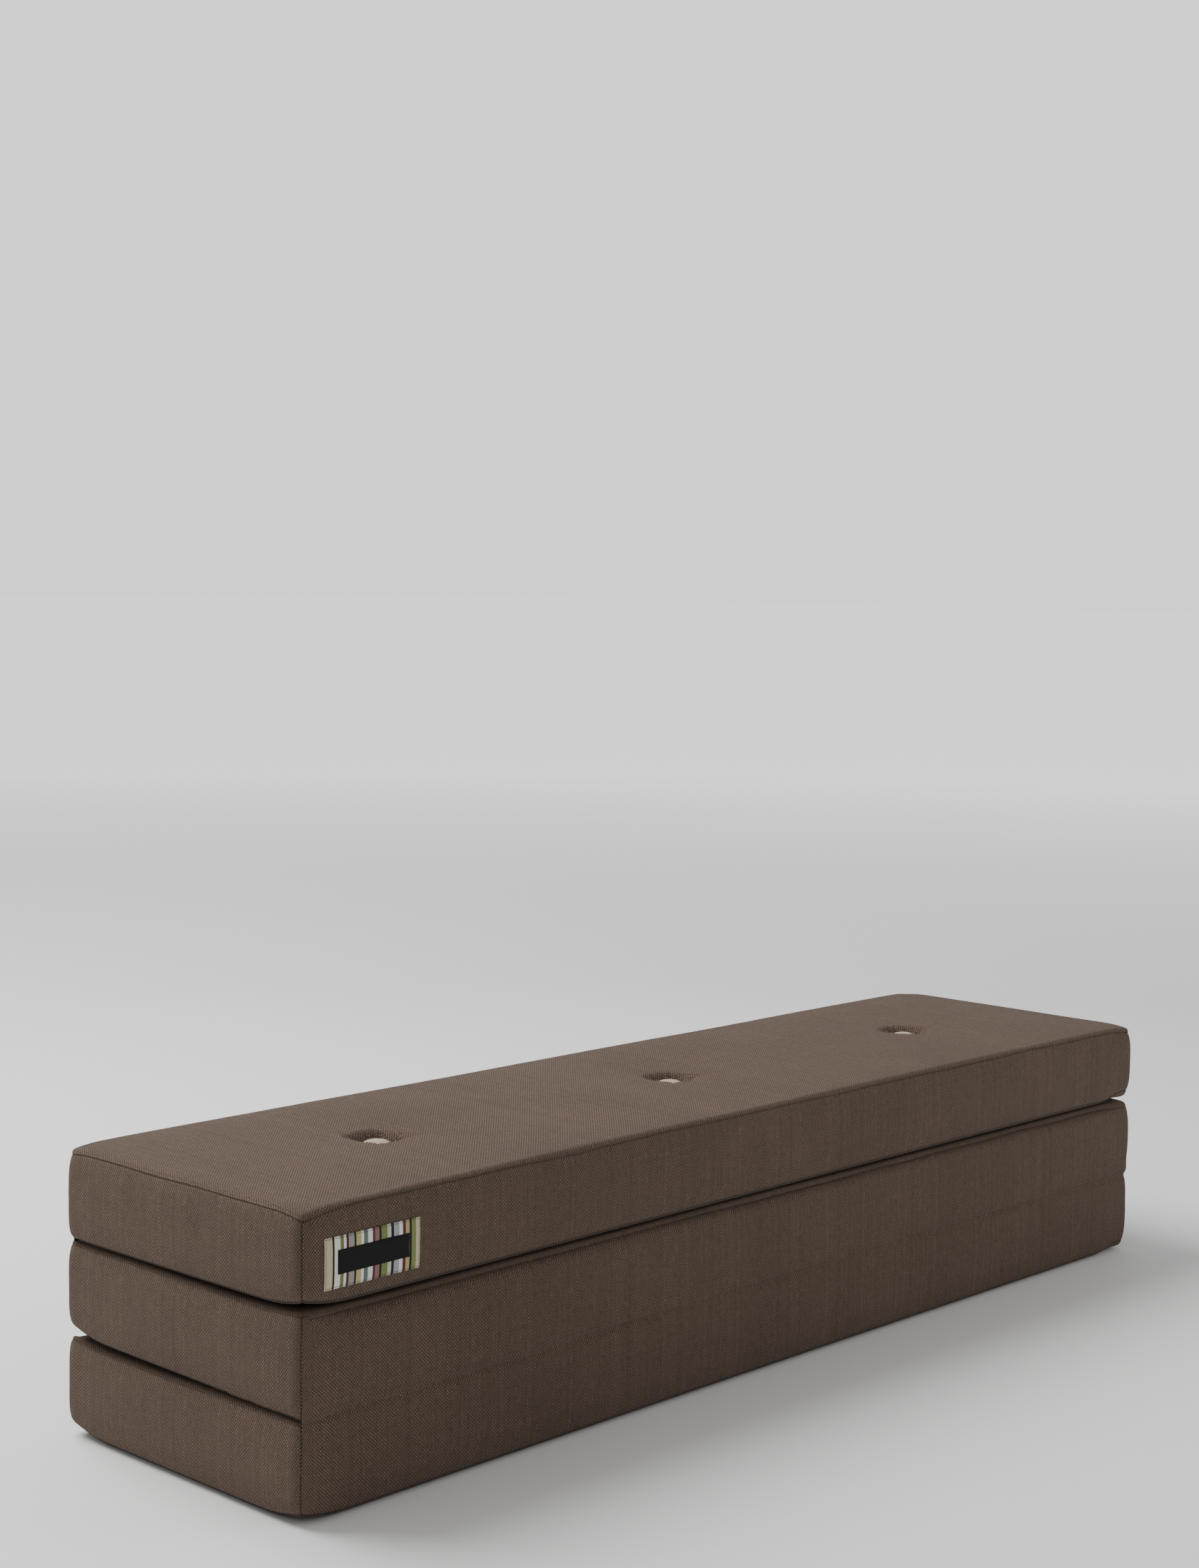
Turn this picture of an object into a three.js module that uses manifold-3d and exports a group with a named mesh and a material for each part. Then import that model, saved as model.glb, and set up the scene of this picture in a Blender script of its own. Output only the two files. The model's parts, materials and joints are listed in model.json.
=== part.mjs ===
// Folding mattress: three foam pads in woven covers, stacked as a bench and joined by cloth
// hinges on alternating long edges. Millimetres. X runs along the pads, the front is at -Y,
// Z is up, and the origin is at the middle of the footprint, on the floor.
import * as THREE from 'three';
import { mergeVertices } from 'three/addons/utils/BufferGeometryUtils.js';
import Module from 'manifold-3d';

const wasm = await Module();
wasm.setup();
const { lerp, smoothstep } = THREE.MathUtils;

// The stack
const length = 1410;
const depth = 375;
const pitch = 100;            // height that one pad takes in the stack
const cornerRadius = 14;      // rounding of a pad in plan
const restGap = 0.6;          // between two pads that lie on each other
const clearance = 0.4;        // between pieces that are sewn together or lie on each other

// The covers
const clothThickness = 1.6;
const seamInset = 4;          // how far a seam lies behind the bulge of the borders
const bulgePower = 4;         // how flat a border stays between its seams
const seamDrop = 9;           // how far a panel turns over the edge before its seam
const hingeEndDrop = 3;       // the same in the corner where the left end meets a hinge
const crown = 3;              // rise of the free top face over its edges
const crownPower = 8;         // how late the crown falls to the edges
const sideDraw = 3;           // how far the long sides are drawn in half way along
const hingeRelief = 1.2;      // how far the borders stay behind a hinge line
const hingeFade = 60;         // run over which a hinged edge turns into a seamed corner
const edgePower = 5;          // how late a panel turns over its edge
const leanPower = 3;          // how late its thickness leans over with it
const shoulderShare = 0.72;   // place of the panel's shoulder, from the corner's centre to the rim
const borderRows = 4;
const longColumns = 8;        // of a border on a long side, between its corners
const endColumns = 4;         // the same on an end

// Tufts: the buttoned dimples of a sleeping panel, and the shallow ones of a back panel
const tuftSpacing = 450;
const tuftTile = 60;          // half the square of cloth that is gathered to one tuft
const seatRadius = 15.5;
const holeRadius = 2.4;
const pocketShare = 0.5;      // part of a tuft's depth that is a steep pocket, the rest is a slope
const pocketPower = 20;
const slopePower = 3;
const buttonTuft = { depth: 16, reach: 80, pleat: 2, segments: 16, rings: [44, 24, 18, seatRadius] };
const backTuft = { depth: 4.5, reach: 40, pleat: 0, segments: 8, rings: [34, seatRadius] };
const foamTuft = { segments: 8, rings: [46, 18] };
const foamReachShare = 0.85;  // the foam is pressed down a little wider than the cloth

// Buttons, tie discs and twine
const buttonRadius = 14.5;
const buttonHeight = 8.5;
const buttonUnderside = 10;   // radius of the flat underside
const buttonDomeShares = [[1, 0.34], [0.87, 0.7], [0.5, 0.94]];   // shares of its radius and height
const discRadius = 12.5;
const discThickness = 2.2;
const discBevel = 1;
const twineRadius = 1.2;
const roundSides = 12;
const twineSides = 6;

// Zips
const zipOpening = 10;        // width of tape that shows between the border and the panel
const zipLap = 5;             // how far the tape runs behind the border
const tapeThickness = 1.2;
const toothPitch = 12;
const toothLength = 4.6;      // along the zip
const toothReach = 3.5;       // across the zip
const toothOverlap = 1.4;     // how far the two rows reach into each other
const toothHeight = 1.5;
const stopLength = 3;
const zipEndMargin = 42;      // from the end of the teeth to the corner of the pad
const sliderLength = 15;
const sliderWidth = 9;
const sliderTail = 7.8;       // width at its narrow end
const sliderPlate = 1;
const sliderFlange = 1.1;
const lugLength = 3.4;
const lugWidth = 1;
const pinRadius = 0.8;
const pinHeight = 2.3;        // of the pin's axis over the slider's plate
const eyeRadius = 1.9;
const pullLength = 22;
const pullWidth = 6.4;
const pullNeck = 3.2;
const pullThickness = 1.4;
const pullShoulder = 6;       // from the pin to the full width
const pullSlotLength = 7;
const pullSlotWidth = 2.6;
const pinSides = 12;

// Label
const labelWidth = 118;
const labelHeight = 49;
const labelThickness = 0.7;
const labelStart = 27;        // from the left end of the pad
const labelRise = 19;         // from the underside of the pad
const labelColumns = 5;
const labelRows = 4;

const halfLength = length / 2;
const halfDepth = depth / 2 - hingeRelief;
const hingeReach = hingeRelief - clearance;
const tuftPlaces = { left: -tuftSpacing, centre: 0, right: tuftSpacing };
const lining = clothThickness + clearance;
const chainHalf = toothReach - toothOverlap / 2;
const chainHalfLength = halfDepth - zipEndMargin;
const sliderTravelHalf = chainHalfLength - stopLength - clearance - sliderLength / 2;
const halfTurn = Math.PI;
const quarterTurn = Math.PI / 2;

const cover = new THREE.MeshStandardMaterial({ color: 0x5f5045, roughness: 0.95 });
const coverBack = new THREE.MeshStandardMaterial({ color: 0x574a40, roughness: 0.95 });
const coverHinge = new THREE.MeshStandardMaterial({ color: 0x54473e, roughness: 0.95 });
const foamMaterial = new THREE.MeshStandardMaterial({ color: 0xe9dfb4, roughness: 0.9 });
const buttonCloth = new THREE.MeshStandardMaterial({ color: 0xc9b79c, roughness: 0.85 });
const discPlastic = new THREE.MeshStandardMaterial({ color: 0xd8d2c4, roughness: 0.5 });
const twineMaterial = new THREE.MeshStandardMaterial({ color: 0xe8e2d2, roughness: 0.8 });
const tapeMaterial = new THREE.MeshStandardMaterial({ color: 0x40362f, roughness: 0.85 });
const zipMetal = new THREE.MeshStandardMaterial({ color: 0x8a8178, roughness: 0.4, metalness: 0.9 });
const labelCloth = new THREE.MeshStandardMaterial({ color: 0xb9b19f, roughness: 0.9 });

const mattress = new THREE.Group();

function addMesh(name, geometry, material) {
  const mesh = new THREE.Mesh(geometry, material);
  mesh.name = name;
  mattress.add(mesh);
  return mesh;
}

// Closes a surface into a solid. levels are lists of points from the outer skin to the inner one,
// all in the order of the triangles' corners; only the open edges run through the levels between.
function closeSolid(levels, triangles) {
  const corners = levels[0].length;
  const last = levels.length - 1;
  const index = [];
  const edges = new Set();
  for (const [a, b, c] of triangles) {
    index.push(a, b, c, last * corners + a, last * corners + c, last * corners + b);
    for (const [from, to] of [[a, b], [b, c], [c, a]]) edges.add(`${from} ${to}`);
  }
  for (const edge of edges) {
    const [from, to] = edge.split(' ').map(Number);
    if (edges.has(`${to} ${from}`)) continue;
    for (let level = 0; level < last; level += 1) {
      const outer = level * corners;
      const inner = outer + corners;
      index.push(outer + from, inner + from, inner + to, outer + from, inner + to, outer + to);
    }
  }
  const position = new THREE.Float32BufferAttribute(levels.flat().flatMap((p) => p.toArray()), 3);
  const indexed = new THREE.BufferGeometry().setAttribute('position', position).setIndex(index);
  const geometry = indexed.toNonIndexed();
  geometry.computeVertexNormals();
  return geometry;
}

// Two triangles for each cell of a grid of columns by rows, wound so that columns x rows faces out
function gridTriangles(columns, rows) {
  const triangles = [];
  const at = (column, row) => column * (rows + 1) + row;
  for (let column = 0; column < columns; column += 1) {
    for (let row = 0; row < rows; row += 1) {
      const corners = [at(column, row), at(column + 1, row), at(column + 1, row + 1), at(column, row + 1)];
      triangles.push([corners[0], corners[1], corners[2]], [corners[0], corners[2], corners[3]]);
    }
  }
  return triangles;
}

function toManifold(geometry) {
  const bare = new THREE.BufferGeometry().setAttribute('position', geometry.getAttribute('position'));
  if (geometry.index) bare.setIndex(geometry.index);
  const merged = mergeVertices(bare);
  return new wasm.Manifold(new wasm.Mesh({
    numProp: 3,
    vertProperties: new Float32Array(merged.getAttribute('position').array),
    triVerts: new Uint32Array(merged.index.array),
  }));
}

function fromManifold(solid) {
  const { vertProperties, triVerts } = solid.getMesh();
  const indexed = new THREE.BufferGeometry();
  indexed.setAttribute('position', new THREE.BufferAttribute(new Float32Array(vertProperties), 3));
  indexed.setIndex(Array.from(triVerts));
  const geometry = indexed.toNonIndexed();
  geometry.computeVertexNormals();
  return geometry;
}

// How much of its draw a long side has at a place along the pad
function bowAt(x) {
  return Math.max(0, 1 - (x / halfLength) ** 2);
}

// Place in plan of a point of the pad's outline grid, moved in by inset at the rim, with the square
// corners of the grid turned into round ones and the long sides drawn in.
function footprint(x, y, inset) {
  const coreX = halfLength - cornerRadius;
  const coreY = halfDepth - cornerRadius;
  const overX = Math.max(0, Math.abs(x) - coreX) / cornerRadius;
  const overY = Math.max(0, Math.abs(y) - coreY) / cornerRadius;
  const radius = cornerRadius - inset;
  const outX = overX * Math.sqrt(1 - overY ** 2 / 2) * radius;
  const outY = overY * Math.sqrt(1 - overX ** 2 / 2) * radius;
  const placeX = Math.sign(x) * (Math.min(Math.abs(x), coreX) + outX);
  const placeY = Math.sign(y) * (Math.min(Math.abs(y), coreY) + outY);
  return [placeX, placeY * (1 - (sideDraw / halfDepth) * bowAt(x) * (y / halfDepth) ** 2)];
}

// How far a tuft pulls the cloth down at a distance from its centre, and how steep the cloth is there
function tuftDip(tuft, radius) {
  const run = tuft.reach - seatRadius;
  const share = Math.max(0, Math.min(1, (radius - seatRadius) / run));
  const rest = 1 - share;
  const pocket = pocketShare * rest ** pocketPower;
  const slopes = (1 - pocketShare) * rest ** slopePower;
  const inSeat = radius < seatRadius + clearance;
  const fall = inSeat || rest === 0 ? 0 : (pocketPower * pocket + slopePower * slopes) / (run * rest);
  return { dip: tuft.depth * (pocket + slopes), slope: tuft.depth * fall, share };
}

function distanceToTuft(x, y) {
  return Math.min(...Object.values(tuftPlaces).map((place) => Math.hypot(x - place, y)));
}

// 1 along the hinged edge of a face, falling to 0 before its corners
function hingeShare(face, x, y) {
  const onHingeSide = face.hinge !== 0 && face.hinge * y > halfDepth - cornerRadius - clearance;
  return onHingeSide ? smoothstep(halfLength - cornerRadius - Math.abs(x), 0, hingeFade) : 0;
}

// How a face lies at a point: how far it has dropped, which way its thickness leans, its own inset
// and that of the border under it. A hinged edge stays straight, so it isn't drawn in.
function faceAt(face, x, y) {
  const inset = Math.min(halfLength - Math.abs(x), halfDepth - Math.abs(y));
  const edge = Math.max(0, 1 - inset / cornerRadius);
  const flat = hingeShare(face, x, y);
  const nearHinge = face.hinge === 0 || x > 0 ? 1 : 0.5 - (face.hinge * y) / (2 * halfDepth);
  const drop = lerp(lerp(hingeEndDrop, seamDrop, nearHinge), 0, flat);
  const across = 1 - (y / halfDepth) ** crownPower;
  const along = 1 - (x / halfLength) ** crownPower;
  const crownDip = face.crown * (1 - across * along);
  return {
    edge,
    dip: crownDip + drop * edge ** edgePower,
    lean: quarterTurn * (1 - flat) * edge ** leanPower,
    inset: lerp(seamInset, -hingeReach - sideDraw * bowAt(x), flat),
    borderInset: lerp(seamInset, -sideDraw * bowAt(x), flat),
  };
}

// A point of a panel's outer skin, or one that lies below it
function panelPoint(face, corner, below) {
  const { dip, lean, inset } = faceAt(face, corner.x, corner.y);
  const tuft = tuftDip(face.tuft, distanceToTuft(corner.x, corner.y));
  const pleat = corner.fold ? face.tuft.pleat * (1 - tuft.share) : 0;
  const steep = Math.sqrt(1 + tuft.slope ** 2);
  const [x, y] = footprint(corner.x, corner.y, inset + below * Math.sin(lean));
  const depthBelow = dip + tuft.dip + pleat + below * Math.cos(lean) * steep;
  return new THREE.Vector3(x, y, face.level - face.side * depthBelow);
}

// The foam's skin under a panel. Its edges are eased, so it stays behind the seams on every side.
function foamPoint(face, corner) {
  const { dip, lean, edge } = faceAt(face, corner.x, corner.y);
  const tuft = tuftDip(face.tuft, distanceToTuft(corner.x, corner.y) * foamReachShare);
  const pleat = face.tuft.pleat * (1 - tuft.share) * Math.sign(tuft.share);
  const steep = Math.sqrt(1 + tuft.slope ** 2);
  const [x, y] = footprint(corner.x, corner.y, seamInset + lining + zipRoom(corner.x));
  const depthBelow = dip + tuft.dip + pleat + lining * Math.cos(lean) * steep + clearance * edge;
  return new THREE.Vector3(x, y, face.level - face.side * depthBelow);
}

function isRightEnd(x) {
  return x > halfLength - cornerRadius + clearance;
}

// The foam stands back behind the zip tape at the right end
function zipRoom(x) {
  return isRightEnd(x) ? tapeThickness + clearance : 0;
}

// The plan of a pad's face: a grid of cells, with the square round each tuft changed for rings
function tuftedPlan({ segments, rings }) {
  const sideCells = segments / 4;
  const shoulder = cornerRadius * (1 - shoulderShare);
  const edgeInsets = [0, shoulder, cornerRadius];
  const tileLines = (centre) => Array.from({ length: sideCells + 1 },
    (_, line) => centre - tuftTile + (2 * tuftTile * line) / sideCells);
  const linesOf = (half, centres) => [
    ...edgeInsets.map((inset) => inset - half),
    ...centres.flatMap(tileLines),
    ...edgeInsets.map((inset) => half - inset).reverse(),
  ];
  const xLines = linesOf(halfLength, Object.values(tuftPlaces));
  const yLines = linesOf(halfDepth, [0]);
  const corners = [];
  for (const x of xLines) for (const y of yLines) corners.push({ x, y, fold: false });
  const at = (column, row) => column * yLines.length + row;
  const firstRow = edgeInsets.length;
  const tileColumns = Object.keys(tuftPlaces).map((_, tuft) => edgeInsets.length + tuft * (sideCells + 1));
  const inTile = (column, row) => row >= firstRow && row < firstRow + sideCells
    && tileColumns.some((first) => column >= first && column < first + sideCells);
  const triangles = gridTriangles(xLines.length - 1, yLines.length - 1).filter((_, number) => {
    const cell = Math.floor(number / 2);
    return !inTile(Math.floor(cell / (yLines.length - 1)), cell % (yLines.length - 1));
  });
  tileColumns.forEach((first, tuft) => {
    const centre = Object.values(tuftPlaces)[tuft];
    let outer = tileRim(sideCells, (column, row) => at(first + column, firstRow + row));
    for (const radius of [...rings, holeRadius]) {
      const inner = outer.map((_, step) => {
        const angle = (2 * halfTurn * step) / segments - quarterTurn / 2;
        const folded = step % 2 === 1 && radius > seatRadius;
        corners.push({ x: centre + radius * Math.cos(angle), y: radius * Math.sin(angle), fold: folded });
        return corners.length - 1;
      });
      outer.forEach((corner, step) => {
        const next = (step + 1) % segments;
        triangles.push([corner, outer[next], inner[next]], [corner, inner[next], inner[step]]);
      });
      outer = inner;
    }
  });
  return { corners, triangles };
}

// The corners round a square of cells, from its corner at +X -Y and turning towards +Y
function tileRim(cells, at) {
  const rim = [];
  for (let step = 0; step < cells; step += 1) rim.push(at(cells, step));
  for (let step = 0; step < cells; step += 1) rim.push(at(cells - step, cells));
  for (let step = 0; step < cells; step += 1) rim.push(at(0, cells - step));
  for (let step = 0; step < cells; step += 1) rim.push(at(step, 0));
  return rim;
}

// A panel of the cover, one cloth thick, with its tufts sewn in
function panelGeometry(face) {
  const { corners, triangles } = tuftedPlan(face.tuft);
  const outer = corners.map((corner) => panelPoint(face, corner, 0));
  const inner = corners.map((corner) => panelPoint(face, corner, clothThickness));
  return closeSolid([outer, inner], face.side > 0 ? triangles : triangles.map(([a, b, c]) => [a, c, b]));
}

// The foam core, which fills the cover and lets the twine through
function foamGeometry(pad) {
  const { corners, triangles } = tuftedPlan(foamTuft);
  const top = corners.map((corner) => foamPoint(pad.top, corner));
  const bottom = corners.map((corner) => foamPoint(pad.bottom, corner));
  const waist = corners.map((corner, place) => {
    const bulge = isRightEnd(corner.x) ? 0 : seamInset;
    const inset = seamInset - bulge + lining + zipRoom(corner.x);
    const [x, y] = footprint(corner.x, corner.y, inset);
    return new THREE.Vector3(x, y, (top[place].z + bottom[place].z) / 2);
  });
  return closeSolid([top, waist, bottom], triangles);
}

// Where a border ends against a panel
function borderEdge(face, x, y) {
  const { dip, lean, borderInset } = faceAt(face, x, y);
  const depthBelow = dip + clothThickness * Math.cos(lean) + clearance;
  return { inset: borderInset, z: face.level - face.side * depthBelow };
}

// A point of a border at a share of its height, and out from its outer skin by a distance
function borderPoint(low, high, x, y, share, outward) {
  const near = share < 0.5 ? low : high;
  const inset = near.inset * (2 * share - 1) ** bulgePower - outward;
  return new THREE.Vector3(...footprint(x, y, inset), lerp(low.z, high.z, share));
}

// The nominal outline of one side of a pad, run anticlockwise seen from above, ending short of the
// corner seams by a clearance
function sidePath(side) {
  const shoulder = cornerRadius * (1 - shoulderShare);
  const half = { front: halfLength, rear: halfLength, left: halfDepth, right: halfDepth }[side];
  const ends = [clearance, shoulder, cornerRadius];
  const straight = half - cornerRadius;
  const columns = half === halfLength ? longColumns : endColumns;
  const between = Array.from({ length: columns - 1 },
    (_, column) => -straight + (2 * straight * (column + 1)) / columns);
  const lastEnd = ends.map((inset) => half - inset).reverse();
  const run = [...ends.map((inset) => inset - half), ...between, ...lastEnd];
  const place = {
    front: (along) => [along, -halfDepth],
    right: (along) => [halfLength, along],
    rear: (along) => [-along, halfDepth],
    left: (along) => [-halfLength, -along],
  }[side];
  return run.map(place);
}

// A border: the strip of cover round one side of a pad, bulging between its two seams
function borderGeometry(pad, side, zipFace) {
  const path = sidePath(side);
  const skin = (outward) => path.flatMap(([x, y]) => {
    const low = borderEdge(pad.bottom, x, y);
    const high = borderEdge(pad.top, x, y);
    if (zipFace === pad.bottom) low.z += zipOpening;
    if (zipFace === pad.top) high.z -= zipOpening;
    return Array.from({ length: borderRows + 1 },
      (_, row) => borderPoint(low, high, x, y, row / borderRows, outward));
  });
  return closeSolid([skin(0), skin(-clothThickness)], gridTriangles(path.length - 1, borderRows));
}

// A covered button: a low dome on a flat underside, standing on z = 0
function buttonGeometry() {
  const profile = [
    [0, 0],
    [buttonUnderside, 0],
    ...buttonDomeShares.map(([radius, height]) => [radius * buttonRadius, height * buttonHeight]),
    [0, buttonHeight],
  ];
  return turned(profile, roundSides);
}

// A flat tie disc with a bevelled edge, standing on z = 0
function discGeometry() {
  const profile = [
    [0, 0],
    [discRadius, 0],
    [discRadius, discThickness - discBevel],
    [discRadius - discBevel, discThickness],
    [0, discThickness],
  ];
  return turned(profile, roundSides);
}

function turned(profile, sides) {
  const points = profile.map(([radius, height]) => new THREE.Vector2(radius, height));
  return new THREE.LatheGeometry(points, sides).rotateX(quarterTurn);
}

// The buttons, tie discs and twines of one pad
function addTufting(pad) {
  const up = pad.sleeping.side;
  const seat = pad.sleeping.level - up * buttonTuft.depth;
  const backSeat = pad.back.level + up * backTuft.depth;
  const buttonBase = seat + up * clearance;
  const discBase = backSeat - up * clearance;
  const twineLength = Math.abs(buttonBase - discBase) - 2 * clearance;
  for (const [place, x] of Object.entries(tuftPlaces)) {
    const crownDip = faceAt(pad.sleeping, x, 0).dip;
    const button = addMesh(`${pad.name}_button_${place}`, buttonGeometry(), buttonCloth);
    button.position.set(x, 0, buttonBase - up * crownDip);
    button.rotation.x = up > 0 ? 0 : halfTurn;
    const disc = addMesh(`${pad.name}_tie_disc_${place}`, discGeometry(), discPlastic);
    disc.position.set(x, 0, discBase);
    disc.rotation.x = up > 0 ? halfTurn : 0;
    const rod = new THREE.CylinderGeometry(twineRadius, twineRadius, twineLength - crownDip, twineSides);
    const twine = addMesh(`${pad.name}_twine_${place}`, rod, twineMaterial);
    twine.rotation.x = quarterTurn;
    twine.position.set(x, 0, (buttonBase + discBase - up * crownDip) / 2);
  }
}

// Two rows of teeth that reach into each other, standing on the outer face of the tape
function chainSolids(root, middle) {
  const rows = [];
  const base = root - tapeThickness / 2;
  const count = Math.floor((2 * (chainHalfLength - stopLength)) / toothPitch);
  for (const row of [-1, 1]) {
    for (let tooth = 0; tooth < count; tooth += 1) {
      const along = (tooth - (count - 1) / 2 + row / 4) * toothPitch;
      const out = middle + (row * (toothReach - toothOverlap)) / 2;
      const box = new THREE.BoxGeometry(toothHeight + root - base, toothLength, toothReach);
      box.translate((base + root + toothHeight) / 2, along, out);
      rows.push(toManifold(box));
    }
  }
  for (const end of [-1, 1]) {
    const box = new THREE.BoxGeometry(toothHeight + root - base, stopLength, 2 * chainHalf);
    box.translate((base + root + toothHeight) / 2, end * (chainHalfLength - stopLength / 2), middle);
    rows.push(toManifold(box));
  }
  return rows;
}

// The zip tape, which closes the right end from corner seam to corner seam, with its teeth
function zipGeometry(pad) {
  const inset = seamInset + lining;
  const rim = borderEdge(pad.back, halfLength, 0).z;
  const far = rim - pad.back.side * (zipOpening + zipLap);
  const heights = [Math.min(rim, far), Math.max(rim, far)];
  const path = sidePath('right');
  const skin = (below) => path.flatMap(([x, y]) => heights.map(
    (z) => new THREE.Vector3(...footprint(x, y, inset + below), z)));
  const tape = toManifold(closeSolid([skin(0), skin(tapeThickness)], gridTriangles(path.length - 1, 1)));
  const chain = chainSolids(halfLength - inset, zipMiddle(pad));
  return fromManifold(wasm.Manifold.union([tape, ...chain]));
}

function zipMiddle(pad) {
  return borderEdge(pad.back, halfLength, 0).z - (pad.back.side * (zipOpening - clearance)) / 2;
}

// The slider: a tapered plate over the teeth, a flange down each side, and two lugs with a pin.
// X points out of the pad, Y along the zip; the tape's face is at x = 0.
function sliderGeometry() {
  const under = toothHeight + clearance;
  const half = sliderWidth / 2;
  const tail = sliderTail / 2;
  const end = sliderLength / 2;
  const plan = new THREE.Shape();
  plan.moveTo(-half, -end);
  plan.lineTo(half, -end);
  plan.lineTo(half, 0);
  plan.lineTo(tail, end);
  plan.lineTo(-tail, end);
  plan.lineTo(-half, 0);
  plan.closePath();
  const block = standOnTape(new THREE.ExtrudeGeometry(plan,
    { depth: under + sliderPlate - clearance, bevelEnabled: false }), clearance);
  const channelWidth = 2 * (chainHalf + clearance);
  const channel = new THREE.BoxGeometry(2 * under, 2 * sliderLength, channelWidth);
  let slider = toManifold(block).subtract(toManifold(channel));
  const top = under + sliderPlate;
  const lugRise = pinHeight + pinRadius + clearance;
  const lugPlace = pullNeck / 2 + clearance + lugWidth / 2;
  for (const side of [-1, 1]) {
    const lug = new THREE.BoxGeometry(lugRise + sliderPlate / 2, lugLength, lugWidth);
    lug.translate(top + (lugRise - sliderPlate / 2) / 2, 0, side * lugPlace);
    slider = slider.add(toManifold(lug));
  }
  const pin = new THREE.CylinderGeometry(pinRadius, pinRadius, 2 * lugPlace, pinSides).rotateX(quarterTurn);
  pin.translate(top + pinHeight, 0, 0);
  return fromManifold(slider.add(toManifold(pin)));
}

// Turns a shape drawn across and along the zip so that it stands out of the tape
function standOnTape(geometry, lift) {
  geometry.applyMatrix4(new THREE.Matrix4().set(
    0, 0, 1, lift,
    0, 1, 0, 0,
    -1, 0, 0, 0,
    0, 0, 0, 1,
  ));
  return geometry;
}

// The pull: an eye round the slider's pin and a slotted tab, pointing along +Y, with the pin at 0
function pullGeometry() {
  const neck = pullNeck / 2;
  const wide = pullWidth / 2;
  const plan = new THREE.Shape();
  plan.moveTo(-neck, 0);
  plan.lineTo(neck, 0);
  plan.lineTo(neck, pullShoulder - wide + neck);
  plan.lineTo(wide, pullShoulder);
  plan.lineTo(wide, pullLength - wide / 2);
  plan.lineTo(wide / 2, pullLength);
  plan.lineTo(-wide / 2, pullLength);
  plan.lineTo(-wide, pullLength - wide / 2);
  plan.lineTo(-wide, pullShoulder);
  plan.lineTo(-neck, pullShoulder - wide + neck);
  plan.closePath();
  const tab = standOnTape(new THREE.ExtrudeGeometry(plan,
    { depth: pullThickness, bevelEnabled: false }), -pullThickness / 2);
  const eye = new THREE.CylinderGeometry(eyeRadius, eyeRadius, pullNeck, pinSides).rotateX(quarterTurn);
  const boreRadius = pinRadius + clearance;
  const bore = new THREE.CylinderGeometry(boreRadius, boreRadius, 2 * pullNeck, pinSides);
  bore.rotateX(quarterTurn);
  const slot = new THREE.BoxGeometry(2 * pullThickness, pullSlotLength, pullSlotWidth);
  slot.translate(0, pullLength - wide - pullSlotLength / 2, 0);
  const solid = toManifold(tab).add(toManifold(eye)).subtract(toManifold(bore)).subtract(toManifold(slot));
  return fromManifold(solid);
}

function addZip(pad) {
  addMesh(`${pad.name}_zip_tape`, zipGeometry(pad), tapeMaterial);
  const face = halfLength - seamInset - lining;
  const slider = addMesh(`${pad.name}_zip_slider`, sliderGeometry(), zipMetal);
  slider.position.set(face, -sliderTravelHalf, zipMiddle(pad));
  const pull = addMesh(`${pad.name}_zip_pull`, pullGeometry(), zipMetal);
  const pinOut = toothHeight + clearance + sliderPlate + pinHeight;
  pull.position.set(face + pinOut, -sliderTravelHalf, zipMiddle(pad));
}

// The woven label, sewn on the front border of a pad near its left corner
function addLabel(pad) {
  const low = borderEdge(pad.bottom, 0, -halfDepth);
  const high = borderEdge(pad.top, 0, -halfDepth);
  low.inset = seamInset;
  high.inset = seamInset;
  const from = pad.bottom.level + labelRise;
  const runs = Array.from({ length: labelColumns + 1 }, (_, column) =>
    labelStart + (labelWidth * column) / labelColumns);
  const skin = (outward) => runs.flatMap((run) => Array.from({ length: labelRows + 1 }, (_, row) => {
    const z = from + (labelHeight * row) / labelRows;
    const share = (z - low.z) / (high.z - low.z);
    return borderPoint(low, high, run - halfLength, -halfDepth, share, outward);
  }));
  const levels = [skin(clearance + labelThickness), skin(clearance)];
  addMesh('side_label', closeSolid(levels, gridTriangles(labelColumns, labelRows)), labelCloth);
}

// One pad: foam, two panels, four borders, tufting and zip
function addPad(pad) {
  addMesh(`${pad.name}_foam_core`, foamGeometry(pad), foamMaterial);
  addMesh(`${pad.name}_sleeping_panel`, panelGeometry(pad.sleeping), cover);
  addMesh(`${pad.name}_back_panel`, panelGeometry(pad.back), coverBack);
  for (const side of ['front', 'rear', 'left', 'right']) {
    const hinged = pad.hinges.includes(side);
    const name = `${pad.name}_${side}_${hinged ? 'hinge_half' : 'border'}`;
    const zipFace = side === 'right' ? pad.back : null;
    addMesh(name, borderGeometry(pad, side, zipFace), hinged ? coverHinge : cover);
  }
  addTufting(pad);
  addZip(pad);
}

// side: 1 faces up, -1 faces down; hinge: -1 on the front edge, 1 on the rear edge, 0 on neither
const sleepingFace = (side, level, hinge, rise) => ({ side, level, hinge, crown: rise, tuft: buttonTuft });
const backFace = (side, level, hinge) => ({ side, level, hinge, crown: 0, tuft: backTuft });
const pads = [
  {
    name: 'lower',
    top: sleepingFace(1, pitch - restGap / 2, -1, 0),
    bottom: backFace(-1, 0, 0),
    hinges: ['front'],
  },
  {
    name: 'middle',
    top: backFace(1, 2 * pitch - restGap / 2, 1),
    bottom: sleepingFace(-1, pitch + restGap / 2, -1, 0),
    hinges: ['front', 'rear'],
  },
  {
    name: 'upper',
    top: sleepingFace(1, 3 * pitch, 0, crown),
    bottom: backFace(-1, 2 * pitch + restGap / 2, 1),
    hinges: ['rear'],
  },
];
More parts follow.
